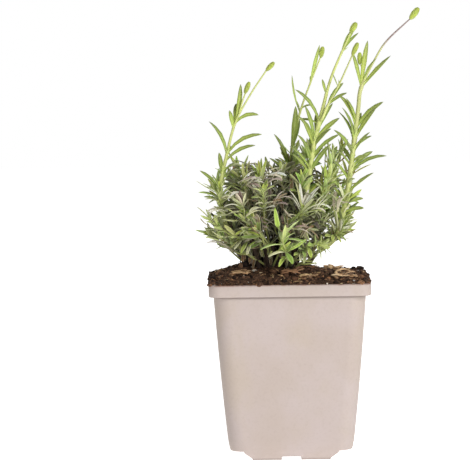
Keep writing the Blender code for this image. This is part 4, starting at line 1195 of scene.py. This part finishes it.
def build_chips(material):
    """Torn bark: each chip is a ragged strip with splinters about it, and one is curled into a ring."""
    chance = random.Random(41)
    names = sorted(node for node in NODES if node.startswith("bark_chip_"))
    for number, (name, tint) in enumerate(zip(names, CHIP_TINTS)):
        drawing = Drawing()
        low, high = (Vector(corner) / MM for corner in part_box(name))
        middle, size = (low + high) / 2, high - low
        long_way = Vector((1, 0, 0)) if size.x > size.y else Vector((0, 1, 0))
        cross = Vector((0, 0, 1)).cross(long_way)
        length, width = abs(size.dot(long_way)), abs(size.dot(cross))
        if number == CURLED_CHIP:
            draw_strip(drawing, ring_line(middle, long_way, cross), 1.8, 1.1, tint, chance)
        else:
            line = bowed_line(middle - long_way * length / 2, long_way * length, 0.7)
            draw_strip(drawing, line, width * 0.6, 1.3, tint, chance)
        for _ in range(SPLINTERS):
            draw_splinter(drawing, middle, long_way, cross, length, width, tint, chance)
        drawing.piece("flake_" + name, material, "bark_chip", name)


def ring_line(middle, long_way, cross):
    """An oval ring, not quite closed, that stands up at one side."""
    line = []
    for step in range(15):
        angle = 5.4 * step / 14
        line.append(middle + long_way * 4.2 * math.cos(angle) + cross * 2.6 * math.sin(angle)
                    + Vector((0, 0, 1.6 + 1.7 * math.sin(angle))))
    return line


def draw_splinter(drawing, middle, long_way, cross, length, width, tint, chance):
    """A thin torn piece beside a chip, nearly along it."""
    turn = chance.gauss(0, 0.7)
    heading = long_way * math.cos(turn) + cross * math.sin(turn)
    heading += Vector((0, 0, chance.uniform(-0.1, 0.3)))
    start = middle + long_way * chance.uniform(-0.7, 0.4) * length
    start += cross * chance.uniform(-0.6, 0.6) * width
    start.z = clod_height(start.x, start.y) + chance.uniform(0.4, 1.8)
    line = bowed_line(start, heading * chance.uniform(2.5, 7.0), chance.uniform(-0.3, 0.9), 5)
    shade = varied(mixed(tint, SOIL_BROWN, chance.uniform(0, 0.8)), chance, 0.2)
    draw_strip(drawing, line, chance.uniform(1.0, 3.2), chance.uniform(0.5, 1.1), shade, chance)


# Section of a torn strip, in half-widths and half-thicknesses.
STRIP_SECTION = ((1, 0), (0.7, 1), (-0.6, 0.8), (-1, 0.1), (-0.7, -0.9), (0.6, -1))
STRIP_STEPS = 12


def draw_strip(drawing, path, width, thickness, tint, chance):
    """A torn strip along a path: flat, with ragged sides and ends that run out thin."""
    seed = chance.uniform(0, 90)
    total = path_length(path)
    rings = []
    for step in range(STRIP_STEPS + 1):
        share = step / STRIP_STEPS
        place, along = place_on(path, total * share)
        lift = square_to(Vector((0, 0, 1)), along)
        side = lift.cross(along)
        taper = 0.45 + 0.55 * math.sin(math.pi * (0.1 + 0.8 * share))
        places = []
        for corner, (across, up) in enumerate(STRIP_SECTION):
            ragged = 1 + 0.6 * noise.noise(Vector((share * total * 0.9, corner * 3.1, seed)))
            spoke = side * across * width * 0.5 * ragged + lift * up * thickness * 0.5
            places.append(place + spoke * taper)
        shade = mixed(tint, SOIL_BROWN, 0.5 * (0.5 + noise.noise(Vector((share * 5, seed, 2.0)))))
        rings.append(drawing.ring(places, shade))
    drawing.tube(rings)


# --- pot ---------------------------------------------------------------------------------------


# Heights of the rings that shape the wall, outside and inside.
WALL_HEIGHTS = (0.0, 2.0, 4.0, 6.0, 8.0, 10.0, 12.0, 20.0, 30.0, 45.0, 60.0, 78.0)
SPACE_HEIGHTS = (WALL, 4.0, 8.0, 12.0, 30.0, 60.0, RIM_TOP + 4.0)


def rounded_square(half, height, radius):
    """A level square with rounded corners, as a ring of points."""
    points = []
    inner = half - radius
    for quarter, (sign_x, sign_y) in enumerate(((1, 1), (-1, 1), (-1, -1), (1, -1))):
        for step in range(CORNER_STEPS + 1):
            angle = math.radians(90 * (quarter + step / CORNER_STEPS))
            points.append(Vector((sign_x * inner + radius * math.cos(angle),
                                  sign_y * inner + radius * math.sin(angle), height)))
    return points


def loft(shape, rings):
    """Skins a row of rings, and closes both ends."""
    loops = [[shape.verts.new(point * MM) for point in ring] for ring in rings]
    for lower, upper in zip(loops, loops[1:]):
        for index in range(len(lower)):
            following = (index + 1) % len(lower)
            shape.faces.new((lower[index], lower[following], upper[following], upper[index]))
    shape.faces.new(list(reversed(loops[0])))
    shape.faces.new(loops[-1])


def solid(name, shape):
    """A shape as an object, in the scene while it is being cut."""
    mesh = bpy.data.meshes.new(name)
    shape.to_mesh(mesh)
    shape.free()
    thing = bpy.data.objects.new(name, mesh)
    bpy.context.scene.collection.objects.link(thing)
    return thing


def base_cutters(name, grow):
    """The raised left and right edges and the two grooves of the base, made larger by grow."""
    edges = bmesh.new()
    outer = RIM_HALF + 5.0
    steps = 10
    for sign in (-1, 1):
        rings = []
        for step in range(steps + 1):
            rise = step / steps
            ease = rise * rise * (3 - 2 * rise)
            inner = FOOT_HALF + (EDGE_FLAT - FOOT_HALF) * ease - grow
            height = -2.0 if step == 0 else EDGE_LIFT * rise + grow
            corners = [(inner, -outer), (outer, -outer), (outer, outer), (inner, outer)]
            ring = [Vector((sign * x, y, height)) for x, y in corners]
            rings.append(ring if sign > 0 else ring[::-1])
        loft(edges, rings)
    grooves = bmesh.new()
    length = RIM_HALF - GROOVE_INNER + grow
    size = Vector((2 * (GROOVE_HALF + grow), length, 2 * (GROOVE_LIFT + grow))) * MM
    for sign in (-1, 1):
        middle = Vector((0, sign * (GROOVE_INNER - grow + length / 2), 0)) * MM
        place = Matrix.Translation(middle) @ Matrix.Diagonal((*size, 1.0))
        bmesh.ops.create_cube(grooves, size=1.0, matrix=place)
    bmesh.ops.bevel(grooves, geom=grooves.edges[:], offset=0.5 * MM, segments=3, affect="EDGES")
    return [solid(name + "_edges", edges), solid(name + "_grooves", grooves)]


def cut_away(thing, cutters):
    """Subtracts the cutters from a solid and leaves a plain mesh."""
    for cutter in cutters:
        modifier = thing.modifiers.new(cutter.name, "BOOLEAN")
        modifier.object = cutter
        modifier.solver = "EXACT"
    mesh = bpy.data.meshes.new_from_object(thing.evaluated_get(bpy.context.evaluated_depsgraph_get()))
    thing.modifiers.clear()
    thing.data = mesh
    for cutter in cutters:
        bpy.data.objects.remove(cutter)


def rim_profile():
    """The rim band's outline as (half-width, height), upwards: its step, rounded foot and rounded top."""
    band_foot = RIM_TOP - RIM_BAND
    profile = [(RIM_HALF - WALL, RIM_TOP - RIM_LIP), (RIM_HALF - WALL, band_foot + 0.4)]
    for step in range(5):
        angle = math.pi * (1 + step / 4)
        profile.append((RIM_HALF - 0.5 + 0.5 * math.cos(angle), band_foot + 0.5 + 0.5 * math.sin(angle)))
    for step in range(5):
        angle = math.pi / 2 * step / 4
        profile.append((RIM_HALF - 0.9 + 0.9 * math.cos(angle), RIM_TOP - 0.9 + 0.9 * math.sin(angle)))
    return profile


def pot_block():
    """The pot's outside, filled."""
    heights = (*WALL_HEIGHTS, RIM_TOP - RIM_LIP)
    rings = [rounded_square(wall_half(height), height, WALL_CORNER) for height in heights]
    rings += [rounded_square(half, height, RIM_CORNER - RIM_HALF + half) for half, height in rim_profile()]
    shape = bmesh.new()
    loft(shape, rings)
    return solid("moulded_pot", shape)


def pot_space():
    """The pot's inside, with the raised edges and the grooves of its base left in."""
    space = bmesh.new()
    corner = WALL_CORNER - WALL
    loft(space, [rounded_square(wall_half(height) - WALL, height, corner) for height in SPACE_HEIGHTS])
    inside = solid("pot_space", space)
    cut_away(inside, base_cutters("floor", WALL))
    return inside


def drain_cutter():
    """The four drain holes, as upright cylinders."""
    drains = bmesh.new()
    for sign_x in (-1, 1):
        for sign_y in (-1, 1):
            place = Matrix.Translation(Vector((sign_x * DRAIN_PLACE, sign_y * DRAIN_PLACE, 0.0)) * MM)
            bmesh.ops.create_cone(drains, cap_ends=True, segments=40, radius1=DRAIN_RADIUS * MM,
                                  radius2=DRAIN_RADIUS * MM, depth=6.0 * MM, matrix=place)
    return solid("drains", drains)


def build_pot(material):
    """The pot: a filled block, less its inside, the shape of its base and its drain holes."""
    pot = pot_block()
    inside = pot_space()
    drains = drain_cutter()
    cut_away(pot, base_cutters("foot", 0.0) + [inside, drains])
    pot.data.shade_smooth()
    pot.data.set_sharp_from_angle(angle=math.radians(35))
    pot.data.materials.clear()
    pot.data.materials.append(material)
    bpy.context.scene.collection.objects.unlink(pot)
    place_piece(pot, "pot_plastic", "pot")


# --- materials ---------------------------------------------------------------------------------


class Nodes:
    """A material's node tree, with short ways to add the nodes that the surfaces share."""

    def __init__(self, name, roughness):
        self.material = bpy.data.materials.new(name)
        self.material.use_nodes = True
        self.tree = self.material.node_tree
        self.shader = self.tree.nodes["Principled BSDF"]
        self.shader.inputs["Roughness"].default_value = roughness
        self.place = self.tree.nodes.new("ShaderNodeTexCoord").outputs["Object"]

    def add(self, kind, **settings):
        node = self.tree.nodes.new(kind)
        for key, value in settings.items():
            setattr(node, key, value)
        return node

    def link(self, source, target):
        self.tree.links.new(source, target)

    def attribute(self, name):
        return self.add("ShaderNodeVertexColor", layer_name=name).outputs["Color"]

    def noise(self, scale, detail=4.0, roughness=0.55, stretch=None):
        node = self.add("ShaderNodeTexNoise")
        node.inputs["Scale"].default_value = scale
        node.inputs["Detail"].default_value = detail
        node.inputs["Roughness"].default_value = roughness
        place = self.place
        if stretch:
            mapping = self.add("ShaderNodeMapping")
            mapping.inputs["Scale"].default_value = stretch
            self.link(place, mapping.inputs["Vector"])
            place = mapping.outputs["Vector"]
        self.link(place, node.inputs["Vector"])
        return node.outputs["Fac"]

    def ramp(self, source, low, high, values=(0.0, 1.0)):
        """Goes smoothly from the first value to the second as the source goes from low to high."""
        node = self.add("ShaderNodeMapRange", interpolation_type="SMOOTHSTEP")
        for socket, value in zip(("From Min", "From Max", "To Min", "To Max"), (low, high, *values)):
            node.inputs[socket].default_value = value
        self.link(source, node.inputs["Value"])
        return node.outputs["Result"]

    def math(self, operation, first, second):
        node = self.add("ShaderNodeMath", operation=operation)
        for socket, value in zip(node.inputs, (first, second)):
            if isinstance(value, (int, float)):
                socket.default_value = value
            else:
                self.link(value, socket)
        return node.outputs["Value"]

    def mix(self, share, first, second):
        node = self.add("ShaderNodeMix", data_type="RGBA")
        sockets = (node.inputs["Factor"], node.inputs[6], node.inputs[7])
        for socket, value in zip(sockets, (share, first, second)):
            if isinstance(value, (int, float)):
                socket.default_value = value
            elif isinstance(value, tuple):
                socket.default_value = (*value, 1.0)
            else:
                self.link(value, socket)
        return node.outputs[2]

    def bump(self, height, strength, distance):
        node = self.add("ShaderNodeBump")
        node.inputs["Strength"].default_value = strength
        node.inputs["Distance"].default_value = distance
        self.link(height, node.inputs["Height"])
        self.link(node.outputs["Normal"], self.shader.inputs["Normal"])

    def finish(self, colour, roughness=None):
        self.link(colour, self.shader.inputs["Base Color"])
        if roughness:
            self.link(roughness, self.shader.inputs["Roughness"])
        return self.material


def leaf_material(name, rib, edge):
    """Leaf skin: a midrib and rolled edges of other tints, a paler under side, mottling and veins.

    The rib and the edge are each (colour, share).
    """
    nodes = Nodes(name, 0.6)
    form = nodes.add("ShaderNodeSeparateColor")
    nodes.link(nodes.attribute("form"), form.inputs["Color"])
    across, along, under = form.outputs
    mottle = nodes.ramp(nodes.noise(900.0), 0.35, 0.7)
    colour = nodes.mix(nodes.math("MULTIPLY", mottle, 0.2), nodes.attribute("tint"), rgb(66, 76, 34))
    colour = nodes.mix(nodes.ramp(across, 0.0, 0.35, (rib[1], 0.0)), colour, rib[0])
    colour = nodes.mix(nodes.ramp(across, 0.6, 1.0, (0.0, edge[1])), colour, edge[0])
    colour = nodes.mix(nodes.math("MULTIPLY", under, 0.35), colour, rgb(204, 208, 160))
    colour = nodes.mix(nodes.ramp(along, 0.0, 0.3, (0.4, 0.0)), colour, rgb(196, 204, 112))
    nodes.shader.inputs["Specular IOR Level"].default_value = 0.35
    nodes.shader.inputs["Sheen Weight"].default_value = 0.2
    nodes.shader.inputs["Sheen Roughness"].default_value = 0.5
    nodes.bump(nodes.noise(2600.0, 3.0), 0.25, 0.0002)
    roughness = nodes.ramp(mottle, 0.0, 1.0, (0.5, 0.72))
    return nodes.finish(colour, roughness)


def bark_material():
    """Bark with long dark streaks and a few pale patches."""
    nodes = Nodes("bark_skin", 0.9)
    streaks = nodes.noise(500.0, 5.0, 0.65, stretch=(1.0, 1.0, 0.18))
    colour = nodes.mix(nodes.ramp(streaks, 0.4, 0.62), nodes.attribute("tint"), rgb(58, 44, 34))
    colour = nodes.mix(nodes.ramp(nodes.noise(160.0), 0.58, 0.72, (0.0, 0.35)), colour, rgb(150, 130, 104))
    nodes.bump(streaks, 0.9, 0.0006)
    return nodes.finish(colour)


def soil_material():
    """Peat: dark grain, with brown fibres here and there."""
    nodes = Nodes("soil_grain", 0.95)
    grain = nodes.noise(900.0, 6.0, 0.7)
    colour = nodes.mix(nodes.ramp(grain, 0.46, 0.66), nodes.attribute("tint"), rgb(30, 21, 16))
    colour = nodes.mix(nodes.ramp(nodes.noise(420.0, 3.0), 0.58, 0.7, (0.0, 0.7)), colour, SOIL_BROWN)
    nodes.shader.inputs["Specular IOR Level"].default_value = 0.25
    nodes.bump(grain, 1.0, 0.0008)
    return nodes.finish(colour)


def chip_material():
    """Torn wood with streaks along it."""
    nodes = Nodes("chip_wood", 0.85)
    streaks = nodes.noise(380.0, 5.0, 0.6, stretch=(0.25, 1.0, 1.0))
    colour = nodes.mix(nodes.ramp(streaks, 0.5, 0.7), nodes.attribute("tint"), rgb(104, 72, 46))
    nodes.bump(streaks, 0.8, 0.0006)
    return nodes.finish(colour)


def pot_material():
    """Matt moulded plastic, softly mottled, with a fine grain.

    It is darker under the rim and at its foot, as painted shade, and has patches of dirt on the rim's top
    edge.
    """
    nodes = Nodes("moulded_plastic", 0.55)
    base = rgb(178, 164, 156)
    cloud = nodes.ramp(nodes.noise(26.0, 3.0, 0.6), 0.35, 0.68)
    colour = nodes.mix(cloud, base, rgb(183, 170, 166))
    warm = nodes.ramp(nodes.noise(44.0, 4.0, 0.6, stretch=(1.0, 1.0, 0.5)), 0.5, 0.75, (0.0, 0.5))
    colour = nodes.mix(warm, colour, rgb(180, 166, 150))
    fine = nodes.noise(700.0, 3.0, 0.6)
    colour = nodes.mix(nodes.ramp(fine, 0.45, 0.75, (0.0, 0.12)), colour, rgb(140, 118, 102))
    height = nodes.add("ShaderNodeSeparateXYZ")
    nodes.link(nodes.place, height.inputs["Vector"])
    # Painted shadow: a thin dark line on the wall just under the rim band's overhang, and a painted contact
    # shadow at the foot.
    line = nodes.math("COMPARE", height.outputs["Z"], (RIM_TOP - RIM_BAND - 0.3) * MM)
    line.node.inputs[2].default_value = 0.6 * MM
    foot = nodes.ramp(height.outputs["Z"], 0.2 * MM, 1.4 * MM, (0.5, 0.0))
    shade = nodes.math("MAXIMUM", nodes.math("MULTIPLY", line, 0.4), foot)
    colour = nodes.mix(shade, colour, rgb(110, 96, 88))
    dirt = nodes.ramp(height.outputs["Z"], (RIM_TOP - 1.0) * MM, RIM_TOP * MM)
    patches = nodes.ramp(nodes.noise(300.0, 4.0, 0.6), 0.4, 0.6, (0.25, 0.85))
    colour = nodes.mix(nodes.math("MULTIPLY", dirt, patches), colour, rgb(140, 98, 80))
    nodes.shader.inputs["Specular IOR Level"].default_value = 0.4
    nodes.bump(fine, 0.12, 0.0002)
    return nodes.finish(colour, nodes.ramp(cloud, 0.0, 1.0, (0.5, 0.62)))


# --- stage, lights and camera ------------------------------------------------------------------


def build_stage():
    """A plain white floor."""
    bpy.ops.mesh.primitive_plane_add(size=6.0)
    floor = bpy.context.object
    floor.name = "floor"
    material = bpy.data.materials.new("floor")
    material.use_nodes = True
    shader = material.node_tree.nodes["Principled BSDF"]
    shader.inputs["Base Color"].default_value = (0.85, 0.85, 0.85, 1.0)
    shader.inputs["Roughness"].default_value = 0.9
    shader.inputs["Emission Color"].default_value = (1.0, 1.0, 1.0, 1.0)
    shader.inputs["Emission Strength"].default_value = 0.86
    floor.data.materials.append(material)


AMBIENT = 0.2
SHADE_TINT = (1.0, 0.955, 0.905)
LAMP_AIM = Vector((0.0, 0.0, 0.13))

# Soft square lamps: place, size and power.
LAMPS = [
    ("key", (0.8, -1.3, 0.85), 0.5, 15.6),
    ("front", (0.65, -1.6, 0.35), 0.9, 6.0),
    ("rear", (-0.2, 1.2, 1.1), 1.0, 9.0),
]


def build_lights():
    """A white studio: bright where it is seen, softer where it lights, and three soft lamps."""
    world = bpy.data.worlds.new("studio")
    bpy.context.scene.world = world
    world.use_nodes = True
    tree = world.node_tree
    seen = tree.nodes["Background"]
    seen.inputs["Color"].default_value = (1.0, 1.0, 1.0, 1.0)
    lighting = tree.nodes.new("ShaderNodeBackground")
    lighting.inputs["Strength"].default_value = AMBIENT
    lighting.inputs["Color"].default_value = (*SHADE_TINT, 1.0)
    chooser = tree.nodes.new("ShaderNodeMixShader")
    rays = tree.nodes.new("ShaderNodeLightPath")
    tree.links.new(rays.outputs["Is Camera Ray"], chooser.inputs["Fac"])
    tree.links.new(lighting.outputs["Background"], chooser.inputs[1])
    tree.links.new(seen.outputs["Background"], chooser.inputs[2])
    tree.links.new(chooser.outputs["Shader"], tree.nodes["World Output"].inputs["Surface"])
    for name, place, size, power in LAMPS:
        lamp = bpy.data.lights.new(name, "AREA")
        lamp.size = size
        lamp.energy = power
        thing = bpy.data.objects.new(name, lamp)
        thing.location = place
        aim = LAMP_AIM - Vector(place)
        thing.rotation_euler = aim.to_track_quat("-Z", "Y").to_euler()
        bpy.context.scene.collection.objects.link(thing)


VIEW_DOWN = math.radians(4.5)
VIEW_ROLL = math.radians(0.8)
VIEW_DISTANCE = 1.6
VIEW_WIDTH = 0.266
VIEW_TARGET = Vector((-0.0299, 0.0, 0.1236))


def build_camera():
    """A long lens a little above the pot's rim, rolled slightly."""
    forward = Vector((0.0, math.cos(VIEW_DOWN), -math.sin(VIEW_DOWN)))
    level = Vector((1.0, 0.0, 0.0))
    upright = level.cross(forward)
    right = level * math.cos(VIEW_ROLL) - upright * math.sin(VIEW_ROLL)
    up = level * math.sin(VIEW_ROLL) + upright * math.cos(VIEW_ROLL)
    data = bpy.data.cameras.new("camera")
    data.sensor_width = 36.0
    data.lens = data.sensor_width * VIEW_DISTANCE / VIEW_WIDTH
    data.clip_start, data.clip_end = 0.05, 20.0
    camera = bpy.data.objects.new("camera", data)
    camera.rotation_euler = Matrix((right, up, -forward)).transposed().to_euler()
    camera.location = VIEW_TARGET - forward * VIEW_DISTANCE
    bpy.context.scene.collection.objects.link(camera)
    bpy.context.scene.camera = camera


def main():
    bpy.context.scene.view_settings.view_transform = "Standard"
    build_camera()
    build_stage()
    build_lights()
    build_pot(pot_material())
    soil = soil_material()
    build_soil(soil)
    build_crumbs(soil)
    build_chips(chip_material())
    build_crown(bark_material())
    build_tall_shoots(leaf_material("tall_leaf", (rgb(214, 222, 150), 0.45), (rgb(120, 140, 60), 0.3)))
    build_buds(leaf_material("bud_scale", (rgb(214, 222, 120), 0.3), (rgb(232, 232, 170), 0.35)))
    mound = leaf_material("mound_leaf", (rgb(84, 92, 48), 0.55), (rgb(226, 224, 190), 0.4))
    build_foliage(mound)
    build_dead_leaves(mound)


main()
